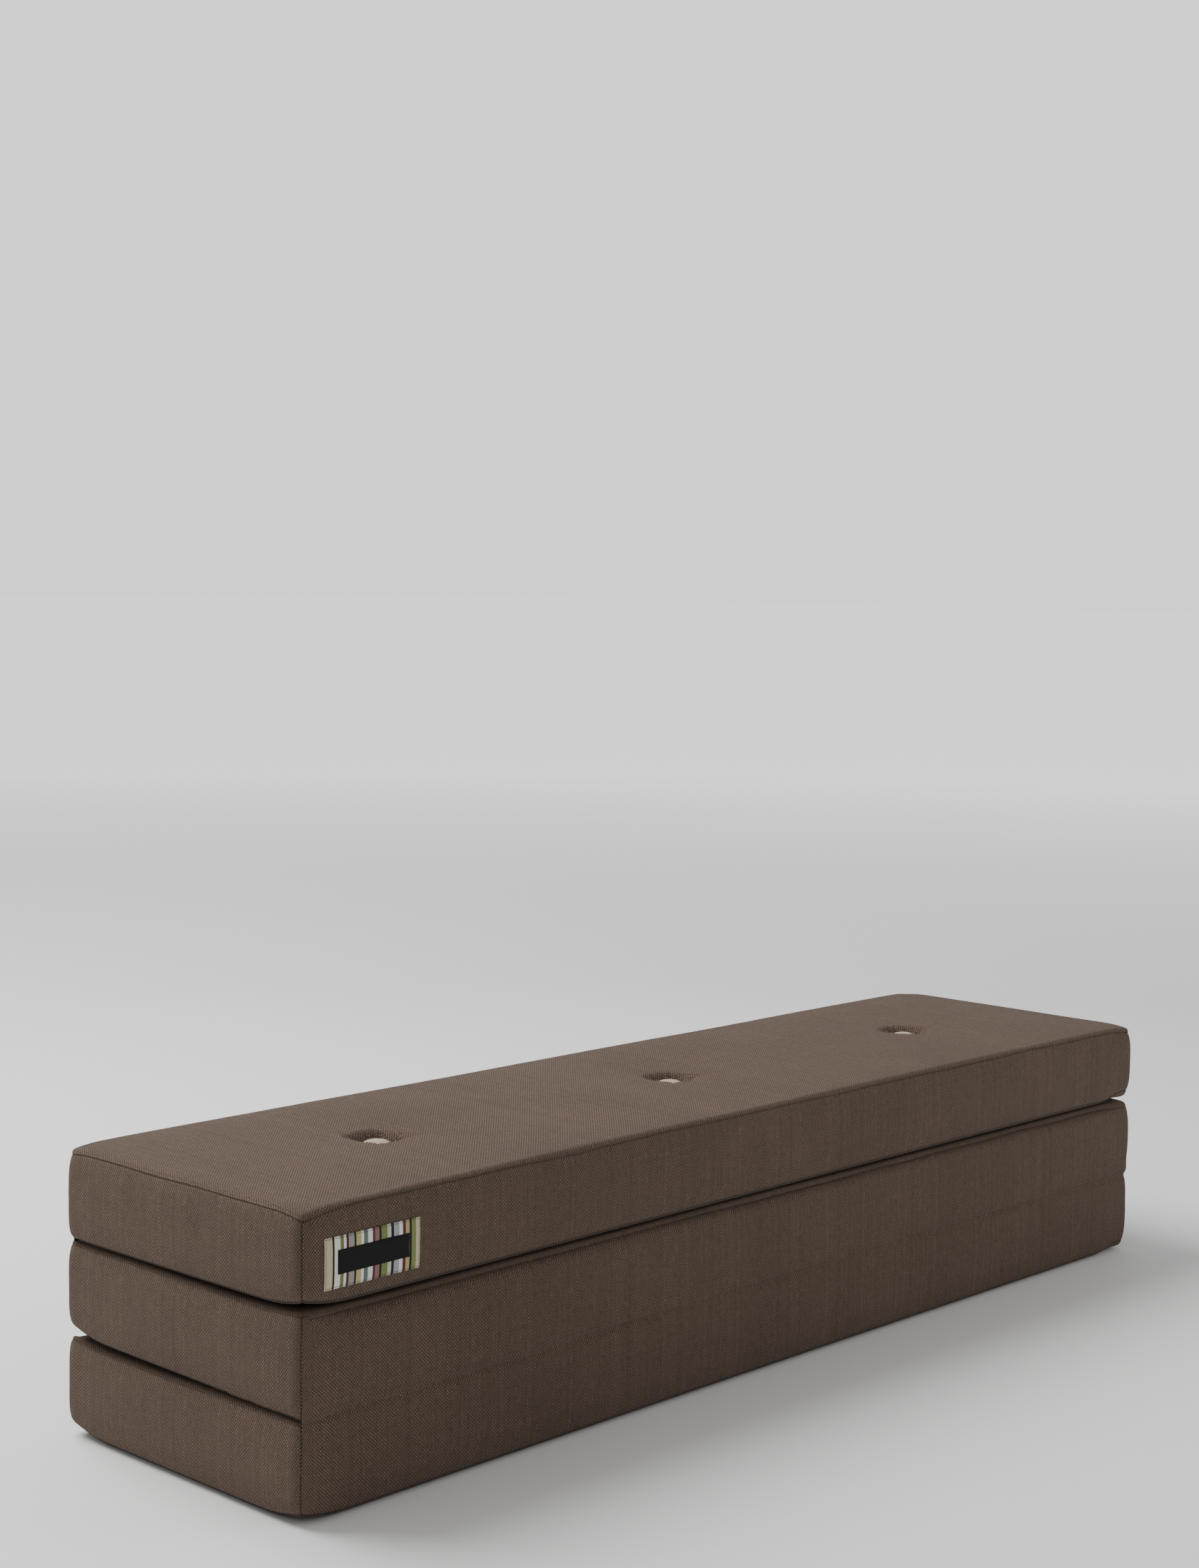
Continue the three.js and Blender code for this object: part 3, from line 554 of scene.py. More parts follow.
def cover_piece(name, points, faces, weave_places, cloth, pads, nodes):
    """A piece of cover cloth, with a weave map in metres and a cut edge."""
    mesh = new_mesh(name, points.tolist(), faces)
    lay_map(mesh, "weave", weave_places)
    return add_piece(mesh, [cloth, cut_edge], pads, nodes, CLOTH)


cut_edge = bpy.data.materials.new("cut_cloth_edge")
panel_cloths = {kind: bpy.data.materials.new(f"{kind}_cloth") for kind in ("sleeping", "back")}
FACES = {(pad, part): make_face(pad, part, kind, hinge, seed) for pad, part, kind, hinge, seed in (
    ("lower", "top", "sleeping", -1, 11), ("lower", "bottom", "back", 0, 12),
    ("middle", "top", "back", 1, 13), ("middle", "bottom", "sleeping", -1, 14),
    ("upper", "top", "sleeping", 0, 15), ("upper", "bottom", "back", 1, 16))}
plans = {kind: panel_plan(cell) for kind, cell in CELLS.items()}
swells = swell_tables()
for face in FACES.values():
    pad, kind = face["pad"], face["kind"]
    corners, faces = plans[kind]
    points = panel_points(face, corners)
    if face["stand"] == "free":
        points[:, 2] += panel_swell(face, *corners.T)
    if face["side"] < 0:
        faces = [turned[::-1] for turned in faces]
    cover_piece(f"{pad}_{kind}_cloth", points, faces, corners, panel_cloths[kind], [pad],
                [f"{pad}_{kind}_panel"])

# The borders
# Strips of the same hopsack stand round the sides of each pad. They bulge between their seams and
# are joined to each other by upright corner seams. The right ones stop short to leave a zip.
SIDES = ("front", "right", "rear", "left")
SEAM_STEPS = [0, 0.0003, 0.0007, 0.0012, 0.002, 0.0032, 0.005, 0.0075]
CORNER_STEPS = [0.0003, 0.0006, 0.001, 0.0016, 0.0025, 0.004, 0.006, 0.0085, 0.011, CORNER]
SEAM_GAP = 0.0003
CURL_REACH = 0.0014      # over which the cloth turns in along its seams and its ends
BULGE_POWER, ROLL_POWER = 4, 16
BORDER_CELL, BORDER_ROW = 0.007, 0.006
BORDER_WANDER, WANDER_START, WANDER_LENGTH = 0.0009, 0.03, 0.16
PUCKER, PUCKER_START, PUCKER_REACH, PUCKER_LENGTH = 0.0004, 0.004, 0.014, 0.035
PUCKER_RISE_SHARE = 0.25     # heights count this much in a pucker, so it runs upwards
BORDER_SWELL = 0.0012    # the most that the settled cloth may stand out on a border
ZIP_OPENING = 0.010
UPPER_FRONT_SEED = 42


def side_swell(pad, side, run, share):
    """How far the settled side of a pad stands out, at places along a side and shares of its height."""
    columns, rows = swells[pad, "top"].shape
    starts = np.cumsum([0, columns - 1, rows - 1, columns - 1])
    half, cells = (HALF_LENGTH, columns - 1) if side in ("front", "rear") else (HALF_DEPTH, rows - 1)
    place = starts[SIDES.index(side)] + (run / half + 1) / 2 * cells
    return BORDER_SWELL * read_table(swells[pad, "sides"], place, share * SIM_ROWS)


def face_of(pad, kind):
    return next(face for face in FACES.values() if (face["pad"], face["kind"]) == (pad, kind))


def side_path(side):
    """Places along one side of a pad and its plan points, run anticlockwise seen from above."""
    half, fixed = (HALF_LENGTH, HALF_DEPTH) if side in ("front", "rear") else (HALF_DEPTH, HALF_LENGTH)
    straight = half - CORNER
    count = math.ceil(2 * straight / BORDER_CELL)
    inner = [straight * (2 * step / count - 1) for step in range(1, count)]
    run = np.array([step - half for step in CORNER_STEPS] + inner
                   + [half - step for step in reversed(CORNER_STEPS)])
    fixed = np.full(len(run), fixed)
    x, y = {"front": (run, -fixed), "right": (fixed, run),
            "rear": (-run, fixed), "left": (-fixed, -run)}[side]
    return run, x, y


def seam_of(face, x, y):
    """Height of the seam under a face along its rim, and how far in it lies."""
    lies = lie(face, x, y)
    return face["level"] - face["side"] * lies["dip"], lies["seam"]


def strip_edges(below, above, x, y):
    """Heights and insets of both edges of a strip between two pads' outer seams, just clear of them."""
    edges = []
    for face in (FACES[below, "bottom"], FACES[above, "top"]):
        height, inset = seam_of(face, x, y)
        edges.append([height - face["side"] * SEAM_GAP, inset])
    return edges


def border_rows(height):
    """Shares of a border's height, close together near its seams."""
    ends = [step / height for step in SEAM_STEPS]
    count = math.ceil((1 - 2 * ends[-1]) * height / BORDER_ROW)
    inner = [ends[-1] + (1 - 2 * ends[-1]) * step / count for step in range(1, count)]
    return np.array(ends + inner + [1 - end for end in reversed(ends)])


def edge_curl(run, to_seam):
    """How far a strip turns in along its ends and its seams."""
    to_end = abs(run).max() - abs(run)
    return SEAM_CURL * (2 - smooth(to_end / CURL_REACH) - smooth(to_seam / CURL_REACH))


def roll_in(inset, share):
    """How far a border lies in, at shares of the way from its middle to a seam that lies in by inset."""
    usual = np.minimum(inset, SEAM_INSET)
    return usual * share ** BULGE_POWER + (inset - usual) * share ** ROLL_POWER


def slow_swell(place, to_seam, wavelength, seed):
    return BORDER_WANDER * smooth(to_seam / WANDER_START) * (0.5 + 0.5 * waves(place, wavelength, seed))


def border_inset(pad, side, run, share, low, high, seed):
    """How far a border lies in, apart from its curled edges: its bulge, and its swells and puckers."""
    height = high[0] - low[0]
    to_seam = np.minimum(share, 1 - share) * height
    place = np.stack([run, share * height], 1)
    inset = roll_in(np.where(share < 0.5, low[1], high[1]), abs(2 * share - 1))
    puckers = PUCKER * waves(place * [1, PUCKER_RISE_SHARE], PUCKER_LENGTH, seed + 1)
    puckers *= np.exp(-to_seam / PUCKER_REACH) * smooth(to_seam / PUCKER_START)
    inset += slow_swell(place, to_seam, WANDER_LENGTH, seed) + puckers
    return inset - side_swell(pad, side, run, share), to_seam, place


def add_border(pad, side, seed):
    path = side_path(side)
    low, high = strip_edges(pad, pad, *path[1:])
    if side == "right":
        back_side = face_of(pad, "back")["side"]
        opened = low if back_side < 0 else high
        opened[0] -= back_side * ZIP_OPENING
    shares = border_rows(np.mean(high[0] - low[0]))
    columns, rows = len(path[0]), len(shares)
    share = np.tile(shares, columns)
    run, x, y, *ends = (np.repeat(values, rows) for values in (*path, *low, *high))
    low, high = ends[:2], ends[2:]
    inset, to_seam, place = border_inset(pad, side, run, share, low, high, seed)
    place_x, place_y = footprint(x, y, inset + edge_curl(run, to_seam))
    points = np.stack([place_x, place_y, low[0] + share * (high[0] - low[0])], 1)
    cover_piece(f"{pad}_{side}_border_cloth", points, grid_faces(columns, rows), place, border_cloth,
                [pad], [f"{pad}_{side}_border"])


border_cloth = bpy.data.materials.new("border_cloth")
for row, pad in enumerate(PADS):
    add_border(pad, "left", 20 + 2 * row)
    add_border(pad, "right", 30 + 2 * row)
add_border("lower", "rear", 40)
add_border("upper", "front", UPPER_FRONT_SEED)

# The hinge cloths
# One strip covers the long sides of two pads that fold on each other, and is the hinge between
# them: it is sewn to both along the line where they meet, and folds there.
NOTCH, NOTCH_WIDTH = 0.002, 0.0045       # at the ends of the fold
HINGE_WANDER_LENGTH = 0.19
DRAW_WIDTH = 0.03        # within which the fold comes out to the straight line of the hinge
FOLD_CLEAR = 0.02        # within which the fold keeps its line
FOLD_STEPS = [0, 0.001, 0.002, 0.003, 0.0045, 0.006, 0.008, 0.011]
ROW_CLEAR_SHARE = 0.01


def add_hinge_cloth(side, below, above, joint):
    path = side_path(side)
    low, high = strip_edges(below, above, *path[1:])
    line = next(j for j in frame["joints"] if j["name"] == joint)["pos_m"]
    tall = np.mean(high[0] - low[0])
    steps = [-step for step in reversed(FOLD_STEPS[1:])] + FOLD_STEPS
    close = [(line[2] - np.mean(low[0])) / tall + step / tall for step in steps]
    first, last = close[0] - ROW_CLEAR_SHARE, close[-1] + ROW_CLEAR_SHARE
    shares = np.array(sorted([share for share in border_rows(tall) if not first < share < last] + close))
    columns, rows = len(path[0]), len(shares)
    run, x, y, low_z, low_in, high_z, high_in = (np.repeat(values, rows) for values in (*path, *low, *high))
    z = low_z + np.tile(shares, columns) * (high_z - low_z)
    from_line = z - line[2]
    to_seam = np.minimum(z - low_z, high_z - z)
    place = np.stack([run, z], 1)
    off = off_ends(x)
    pad_half = 0.5 * (FACES[below, "top"]["level"] - FACES[below, "bottom"]["level"])
    inset = roll_in(np.where(from_line < 0, low_in, high_in), np.clip(1 - to_seam / pad_half, 0, 1))
    inset += edge_curl(run, to_seam) + fold_depth(side, x, from_line)
    notch = NOTCH * (1 - off) * bell(from_line, NOTCH_WIDTH)
    inset += notch - SIDE_DRAW * bow(x) * bell(from_line, DRAW_WIDTH) * off
    swell = slow_swell(place, to_seam, HINGE_WANDER_LENGTH, FOLD_SEED[side] + 1)
    inset += swell * smooth(abs(from_line) / FOLD_CLEAR)
    below_share = np.clip((z - low_z) / (line[2] - low_z), 0, 1)
    above_share = np.clip(from_line / (high_z - line[2]), 0, 1)
    inset -= np.where(from_line < 0, side_swell(below, side, run, below_share),
                      side_swell(above, side, run, above_share))
    place_x, place_y = footprint(x, y, inset)
    halves = [f"{pad}_{side}_hinge_half" for pad in (below, above)]
    piece = cover_piece(f"{side}_hinge_cloth", np.stack([place_x, place_y, z], 1),
                        grid_faces(columns, rows), place, hinge_cloth, [below, above], halves)
    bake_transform(piece)


hinge_cloth = bpy.data.materials.new("hinge_cloth")
add_hinge_cloth("front", "lower", "middle", "front_hinge")
add_hinge_cloth("rear", "middle", "upper", "rear_hinge")

# The cover cloth
# A hopsack of melange yarn, woven two by two: tan warp pairs stand like dots on dark brown weft
# pairs. Slubs run along the yarns. One shader group weaves every cloth of the mattress.
THREAD = 0.00088
# The Gap colour is painted shade: each yarn is coloured darker towards it where its surface lies low, down
# its flanks and where it dips under the other yarns.
COVER_YARN = {"Gap_Shade": (0.017, 0.010, 0.006, 1), "Weft": (0.058, 0.036, 0.024, 1),
              "Warp": (0.196, 0.126, 0.086, 1), "Fleck": (0.440, 0.310, 0.220, 1)}
# the cut edges are painted near black as shade in the grooves of the seams where they lie, with a frayed tone
# between the two colours
FRAYED_EDGE_SHADE = ((0.012, 0.009, 0.007, 1), (0.05, 0.038, 0.03, 1))
THREAD_DRIFT, DRIFT_SCALE = (0.0012, 0.0012, 0), 45
SLUB_RUN, SLUB_LANE = 0.11, 3.7          # how long slubs are, and how unlike two yarns are
SLUB_SHARE, FIBRE_SHARE = 0.84, 0.3
PALE_RANGE, PALE_POWER = (0.38, 0.64), 1.6
FELT_RANGE, FELT_SHARE, FELT_MEAN = (0.45, 0.62), 0.45, 0.38     # where the weave has felted over
PATCH_SCALE, PATCH_RANGE = 7, (0.34, 0.83)
COVER_RELIEF, COVER_SHEEN, COVER_ROUGHNESS = 0.0005, 0.05, 0.92
CROWN_POLISH = -0.12     # what a crown of yarn takes from the roughness
BUMP_STRENGTH, SHEEN_ROUGHNESS, CLOTH_SPECULAR = 0.9, 0.5, 0.25
WEFT_OFFSET = 37.0       # keeps the chances of the two sets of yarn apart
YARN_ARCH = (0.55, 0.45)     # height that a yarn gains on its way over the others, and keeps under them
FIBRE_SCALE, FIBRE_RELIEF = 3.1, 0.25
FELT_STRETCH = (0.09, 0.27)
FRAY_SCALE = 2400


def maths(tree, operation, *values):
    return node(tree, "ShaderNodeMath", dict(enumerate(values)), operation=operation).outputs[0]


def output(made, identifier):
    return next(socket for socket in made.outputs if socket.identifier == identifier)


def blend_colours(tree, share, first, second, kind="MIX"):
    inputs = {"Factor_Float": share, "A_Color": first, "B_Color": second}
    return output(node(tree, "ShaderNodeMix", inputs, data_type="RGBA", blend_type=kind), "Result_Color")


def noise(tree, place, scale, detail=2, roughness=0.5):
    inputs = {"Vector": place, "Scale": scale, "Detail": detail, "Roughness": roughness}
    return node(tree, "ShaderNodeTexNoise", inputs).outputs


def vector(tree, x, y):
    return node(tree, "ShaderNodeCombineXYZ", {"X": x, "Y": y}).outputs[0]


def grey(tree, value):
    return node(tree, "ShaderNodeCombineColor", dict.fromkeys(range(3), value)).outputs[0]


def bump(tree, height, distance, strength=1.0):
    inputs = {"Height": height, "Distance": distance, "Strength": strength}
    return node(tree, "ShaderNodeBump", inputs).outputs[0]


def mapped(tree, name):
    """The place on a piece's own map."""
    return node(tree, "ShaderNodeUVMap", uv_map=name).outputs[0]


def either(tree, share, first, second):
    """The first value where a share is 1, and the second where it is 0."""
    rest = maths(tree, "SUBTRACT", 1.0, share)
    return maths(tree, "ADD", maths(tree, "MULTIPLY", first, share), maths(tree, "MULTIPLY", second, rest))


def new_group(name, kind, inputs, outputs):
    """An empty node group with named sockets: its tree, its inputs, and a call that sets an output."""
    tree = bpy.data.node_groups.new(name, kind)
    for socket, sort, value in inputs:
        made = tree.interface.new_socket(name=socket, in_out="INPUT", socket_type=f"NodeSocket{sort}")
        if value is not None:
            made.default_value = value
    for socket, sort in outputs:
        tree.interface.new_socket(name=socket, in_out="OUTPUT", socket_type=f"NodeSocket{sort}")
    end = node(tree, "NodeGroupOutput")
    return tree, node(tree, "NodeGroupInput").outputs, lambda socket, value: feed(tree, end, {socket: value})


def weave_group():
    tree, given, give = new_group(
        "hopsack_weave", "ShaderNodeTree",
        [("Map", "Vector", None), ("Thread", "Float", THREAD),
         *((name, "Color", colour) for name, colour in COVER_YARN.items())],
        [("Colour", "Color"), ("Height", "Float"), ("Crown", "Float")])
    drift = noise(tree, given["Map"], DRIFT_SCALE)["Color"]
    shifted = node(tree, "ShaderNodeVectorMath", {0: drift, 1: THREAD_DRIFT, 2: given["Map"]},
                   operation="MULTIPLY_ADD").outputs[0]
    per_metre = maths(tree, "DIVIDE", 1.0, given["Thread"])
    count = node(tree, "ShaderNodeVectorMath", {0: shifted, "Scale": per_metre}, operation="SCALE").outputs[0]
    split = node(tree, "ShaderNodeSeparateXYZ", {0: count}).outputs
    along = {"warp": split["X"], "weft": split["Y"]}
    pair = {yarn: maths(tree, "MULTIPLY", place, 0.5) for yarn, place in along.items()}
    block = maths(tree, "ADD", maths(tree, "FLOOR", pair["warp"]), maths(tree, "FLOOR", pair["weft"]))
    warp_over = maths(tree, "GREATER_THAN", maths(tree, "FLOORED_MODULO", block, 2), 0.5)
    height, tone = {}, {}
    for yarn, other, offset in (("warp", "weft", 0.0), ("weft", "warp", WEFT_OFFSET)):
        off_centre = maths(tree, "MULTIPLY_ADD", maths(tree, "FRACT", along[yarn]), 2.0, -1.0)
        roundness = maths(tree, "SUBTRACT", 1.0, maths(tree, "MULTIPLY", off_centre, off_centre))
        arch = maths(tree, "SINE", maths(tree, "MULTIPLY", maths(tree, "FRACT", pair[other]), math.pi))
        height[yarn] = maths(tree, "MULTIPLY", roundness, maths(tree, "MULTIPLY_ADD", arch, *YARN_ARCH))
        number = maths(tree, "FLOOR", along[yarn])
        chance = node(tree, "ShaderNodeTexWhiteNoise", {"W": maths(tree, "ADD", number, offset)},
                      noise_dimensions="1D").outputs["Value"]
        lane = vector(tree, maths(tree, "MULTIPLY_ADD", number, SLUB_LANE, offset),
                      maths(tree, "MULTIPLY", along[other], SLUB_RUN))
        slub = maths(tree, "MULTIPLY", noise(tree, lane, 1.0, 3, 0.65)["Fac"], SLUB_SHARE)
        tone[yarn] = maths(tree, "ADD", maths(tree, "MULTIPLY", chance, 1 - SLUB_SHARE), slub)
    top = either(tree, warp_over, height["warp"], height["weft"])
    yarn_tone = maths(tree, "MULTIPLY", either(tree, warp_over, tone["warp"], tone["weft"]), 1 - FIBRE_SHARE)
    fibre = noise(tree, count, FIBRE_SCALE, 2, 0.6)["Fac"]
    mixed = maths(tree, "ADD", yarn_tone, maths(tree, "MULTIPLY", fibre, FIBRE_SHARE))
    pale = maths(tree, "POWER", stretch(tree, mixed, *PALE_RANGE), PALE_POWER)
    warp_colour = blend_colours(tree, pale, given["Warp"], given["Fleck"])
    weft_colour = blend_colours(tree, maths(tree, "MULTIPLY", pale, 0.5), given["Weft"], given["Warp"])
    yarn_colour = blend_colours(tree, warp_over, weft_colour, warp_colour)
    # painted shade: the yarn colour darkens towards the Gap colour where the yarn's surface lies low
    woven = blend_colours(tree, top, given["Gap_Shade"], yarn_colour)
    wide = vector(tree, *(maths(tree, "MULTIPLY", along[yarn], share)
                          for yarn, share in zip(("warp", "weft"), FELT_STRETCH)))
    felted = stretch(tree, noise(tree, wide, 1.0)["Fac"], *FELT_RANGE, 0.0, FELT_SHARE)
    mean = blend_colours(tree, FELT_MEAN, given["Weft"], given["Warp"])
    give("Colour", blend_colours(tree, felted, woven, mean))
    give("Height", maths(tree, "MULTIPLY_ADD", fibre, FIBRE_RELIEF, top))
    give("Crown", top)
    return tree


def cloth_finish(material, thread, yarn, relief, sheen, roughness):
    """Fills a material with woven cloth, from a weave map in metres."""
    tree, shader = finish_of(material)
    weave = node(tree, "ShaderNodeGroup", {"Map": mapped(tree, "weave"), "Thread": thread, **yarn},
                 node_tree=hopsack).outputs
    patches = noise(tree, object_place(tree), PATCH_SCALE, 3)["Fac"]
    tint = grey(tree, maths(tree, "MULTIPLY_ADD", patches, *PATCH_RANGE))
    feed(tree, shader, {
        "Base Color": blend_colours(tree, 1.0, weave["Colour"], tint, "MULTIPLY"),
        "Roughness": maths(tree, "MULTIPLY_ADD", weave["Crown"], CROWN_POLISH, roughness),
        "Normal": bump(tree, weave["Height"], relief, BUMP_STRENGTH),
        "Sheen Weight": sheen, "Sheen Roughness": SHEEN_ROUGHNESS, "Specular IOR Level": CLOTH_SPECULAR})


hopsack = weave_group()
for cloth in (*panel_cloths.values(), border_cloth, hinge_cloth):
    cloth_finish(cloth, THREAD, COVER_YARN, COVER_RELIEF, COVER_SHEEN, COVER_ROUGHNESS)

tree, shader = finish_of(cut_edge)
fray = noise(tree, object_place(tree), FRAY_SCALE)["Fac"]
# painted shade: the cut edge is coloured near black, with frayed tone
feed(tree, shader, {"Base Color": blend_colours(tree, fray, *FRAYED_EDGE_SHADE)})

# The foam cores
# A block of pale open-cell foam fills each cover. It bulges at the sides and is pressed in under every
# tuft.
FOAM_CELL = 0.018
FOAM_GAP = 0.0012        # from the inside of the cloth
FOAM_SWAY_ROOM = 0.0014  # left under the cloth where it wanders
FOAM_REACH_SHARE = 0.8   # the foam is pressed down a little wider than the cloth
FOAM_BEHIND_FOLD = 0.003     # how much further back it ends where the hinge cloth folds in
FOAM_WAIST_SHARES = [0.88, 0.7, 0.5, 0.3, 0.12]
ZIP_ROOM = 0.002
# the first tint is both yellowed foam and painted shade in its pores, the second clean foam
FOAM_TINTS = ((0.80, 0.72, 0.45, 1), (0.90, 0.84, 0.62, 1))
PORE_SCALE, PORE_RELIEF = 900, 0.0004
PORE_RANGE, YELLOWING_SCALE = (0.8, 0.45), 9
FOAM_ROUGHNESS = (0.1, 0.85)     # what its pores add, and the rest


def foam_skin(face, corners):
    x, y = corners.T
    lies = lie(face, x, y)
    nearest = np.array(TUFTS)[np.argmin(abs(x[:, None] - np.array(TUFTS)), axis=1)]
    under = tuft_dip(face, nearest + (x - nearest) * FOAM_REACH_SHARE, y * FOAM_REACH_SHARE)
    depth = lies["dip"] + under + CLOTH + FOAM_GAP + FOAM_SWAY_ROOM
    inset = np.maximum(SEAM_INSET, lies["seam"]) + CLOTH + 2 * FOAM_GAP
    inset += ZIP_ROOM * (x > HALF_LENGTH - CORNER)
    place_x, place_y = footprint(x, y, inset + FOAM_BEHIND_FOLD * lies["flat"])
    return np.stack([place_x, place_y, face["level"] - face["side"] * depth], 1)


def close_between(levels, faces):
    """A solid's points and faces: an upper skin, rings down its open edges, and a lower skin."""
    count = len(levels[0])
    last = (len(levels) - 1) * count
    closed = list(faces) + [tuple(last + corner for corner in reversed(face)) for face in faces]
    edges = {(face[k], face[(k + 1) % len(face)]) for face in faces for k in range(len(face))}
    rim = sorted(edge for edge in edges if edge[::-1] not in edges)
    for level in range(len(levels) - 1):
        outer, inner = level * count, (level + 1) * count
        closed += [(outer + end, outer + start, inner + start, inner + end) for start, end in rim]
    return np.concatenate(levels), closed


def face_outwards(mesh):
    """Turns a mesh's faces outwards, and drops the points that no face uses."""
    shell = bmesh.new()
    shell.from_mesh(mesh)
    loose = [vertex for vertex in shell.verts if not vertex.link_faces]
    bmesh.ops.delete(shell, geom=loose, context="VERTS")
    bmesh.ops.recalc_face_normals(shell, faces=shell.faces)
    shell.to_mesh(mesh)
    shell.free()


foam_finish = bpy.data.materials.new("foam_finish")
corners, faces = panel_plan(FOAM_CELL)
x, y = corners.T
for pad in PADS:
    upper, lower = foam_skin(FACES[pad, "top"], corners), foam_skin(FACES[pad, "bottom"], corners)
    levels = [upper]
    for share in FOAM_WAIST_SHARES:
        bulge = (SEAM_INSET - FOAM_GAP) * (1 - (2 * share - 1) ** 2) * (x < HALF_LENGTH - CORNER)
        inset = SEAM_INSET + CLOTH + 2 * FOAM_GAP - bulge + ZIP_ROOM * (x > HALF_LENGTH - CORNER)
        height = lower[:, 2] + share * (upper[:, 2] - lower[:, 2])
        levels.append(np.stack([*footprint(x, y, inset), height], 1))
    points, closed = close_between(levels + [lower], faces)
    mesh = new_mesh(f"{pad}_foam", points.tolist(), closed)
    face_outwards(mesh)
    add_piece(mesh, [foam_finish], [pad], [f"{pad}_foam_core"])

tree, shader = finish_of(foam_finish)
whole = object_place(tree)
cells = node(tree, "ShaderNodeTexVoronoi", {"Vector": whole, "Scale": PORE_SCALE}).outputs["Distance"]
pores = maths(tree, "MULTIPLY_ADD", cells, *PORE_RANGE)
# painted shade and yellowing: the foam is coloured darker and yellower in the hollow of each pore, and in
# random patches
pore_shade_and_yellowing = maths(tree, "MULTIPLY", pores, noise(tree, whole, YELLOWING_SCALE, 3)["Fac"])
feed(tree, shader, {"Base Color": blend_colours(tree, pore_shade_and_yellowing, *FOAM_TINTS),
                    "Normal": bump(tree, pores, PORE_RELIEF),
                    "Roughness": maths(tree, "MULTIPLY_ADD", pores, *FOAM_ROUGHNESS)})

# The buttons
# Domed upholstery buttons sit in the deep tufts. Each is a stamped shell covered in a fine sand
# coloured cloth, which is gathered under its rim.
BUTTON_PROFILE = [(0, 0.0), (0.62, 0.0), (0.79, 0.04), (0.91, 0.14), (0.975, 0.28), (1.0, 0.42),
                  (0.985, 0.54), (0.93, 0.66), (0.83, 0.77), (0.68, 0.87), (0.5, 0.94), (0.3, 0.98),
                  (0.12, 0.997), (0, 1.0)]
BUTTON_SIDES = 60
BUTTON_GATHERS, GATHER_SHARE, GATHER_TOP_SHARE = 20, 0.022, 0.5
BUTTON_LIFT = 0.0012     # how far the button rides up in its gathers
BUTTON_THREAD, BUTTON_RELIEF, BUTTON_SHEEN, BUTTON_ROUGHNESS = 0.00045, 0.00015, 0.1, 0.8
# the Gap colour of the button cloth is painted shade between its yarns
BUTTON_YARN = {"Gap_Shade": (0.32, 0.25, 0.17, 1), "Weft": (0.50, 0.41, 0.29, 1),
               "Warp": (0.56, 0.46, 0.33, 1), "Fleck": (0.68, 0.59, 0.46, 1)}


def each_tuft(kind, piece):
    """For each tuft of a kind of panel: its pad, place and centre, which way it faces, and its piece's
    radius, foot and height."""
    for pad in PADS:
        up = face_of(pad, kind)["side"]
        for place, centre in zip(TUFT_PLACES, TUFTS):
            low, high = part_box(f"{pad}_{piece}_{place}")
            yield pad, place, centre, up, (high.x - low.x) / 2, low.z if up > 0 else high.z, high.z - low.z


def turned_rings(profile, sides, centre, up, radius, foot, height, gather_share=0):
    """Rings of a piece turned round the axis of its tuft, with gathers under its rim."""
    angles = [2 * math.pi * step / sides for step in range(sides)]
    rings = []
    for out, rise in profile:
        depth = gather_share * max(0, 1 - rise / GATHER_TOP_SHARE)
        reach = [radius * out * (1 + depth * math.sin(BUTTON_GATHERS * angle)) for angle in angles]
        rings.append([(centre + up * far * math.cos(angle), far * math.sin(angle), foot + up * rise * height)
                      for angle, far in zip(angles, reach)])
    return rings


def turned_mesh(name, rings):
    """A closed mesh from rings of points, the first and last ring each a single point."""
    sides = len(rings[1])
    points = [rings[0][0]] + [point for ring in rings[1:-1] for point in ring] + [rings[-1][0]]
    after = [(step + 1) % sides for step in range(sides)]
    faces = [(0, 1 + after[step], 1 + step) for step in range(sides)]
    for ring in range(len(rings) - 3):
        low, high = 1 + ring * sides, 1 + (ring + 1) * sides
        faces += [(low + step, low + after[step], high + after[step], high + step) for step in range(sides)]
    last = len(points) - 1
    faces += [(last, last - sides + step, last - sides + after[step]) for step in range(sides)]
    return new_mesh(name, points, faces)


button_cloth = bpy.data.materials.new("button_cloth")
cloth_finish(button_cloth, BUTTON_THREAD, BUTTON_YARN, BUTTON_RELIEF, BUTTON_SHEEN, BUTTON_ROUGHNESS)
for pad, place, centre, up, radius, foot, height in each_tuft("sleeping", "button"):
    rings = turned_rings(BUTTON_PROFILE, BUTTON_SIDES, centre, up, radius, foot + up * BUTTON_LIFT, height,
                         GATHER_SHARE)
    mesh = turned_mesh(f"{pad}_button_cover_{place}", rings)
    lay_map(mesh, "weave", [point.co[:2] for point in mesh.vertices])
    add_piece(mesh, [button_cloth], [pad], [f"{pad}_button_{place}"])

# The tie discs
# A moulded disc with two holes lies in each shallow tuft of a back panel and keeps the twine from
# pulling through the cloth.
DISC_FACE_SHARE = 0.78   # of its height, inside its rim
DISC_PROFILE = [(0, 0.0), (0.90, 0.0), (0.97, 0.12), (1.0, 0.3), (1.0, 0.55), (0.96, 0.8), (0.9, 0.96),
                (0.8, 1.0), (0.70, 0.97), (0.64, 0.84), (0.58, DISC_FACE_SHARE), (0, DISC_FACE_SHARE)]
DISC_SIDES, HOLE_SIDES = 48, 16
TIE_SPREAD = 0.0014      # from the disc's centre to a twine
TIE_HOLE = 0.00085
DISC_TINTS = ((0.70, 0.66, 0.58, 1), (0.80, 0.77, 0.70, 1))
CLOUD_SCALE, SCUFF_SCALE = 260, 900
DISC_ROUGHNESS = (0.25, 0.3)     # what its scuffs add, and the rest

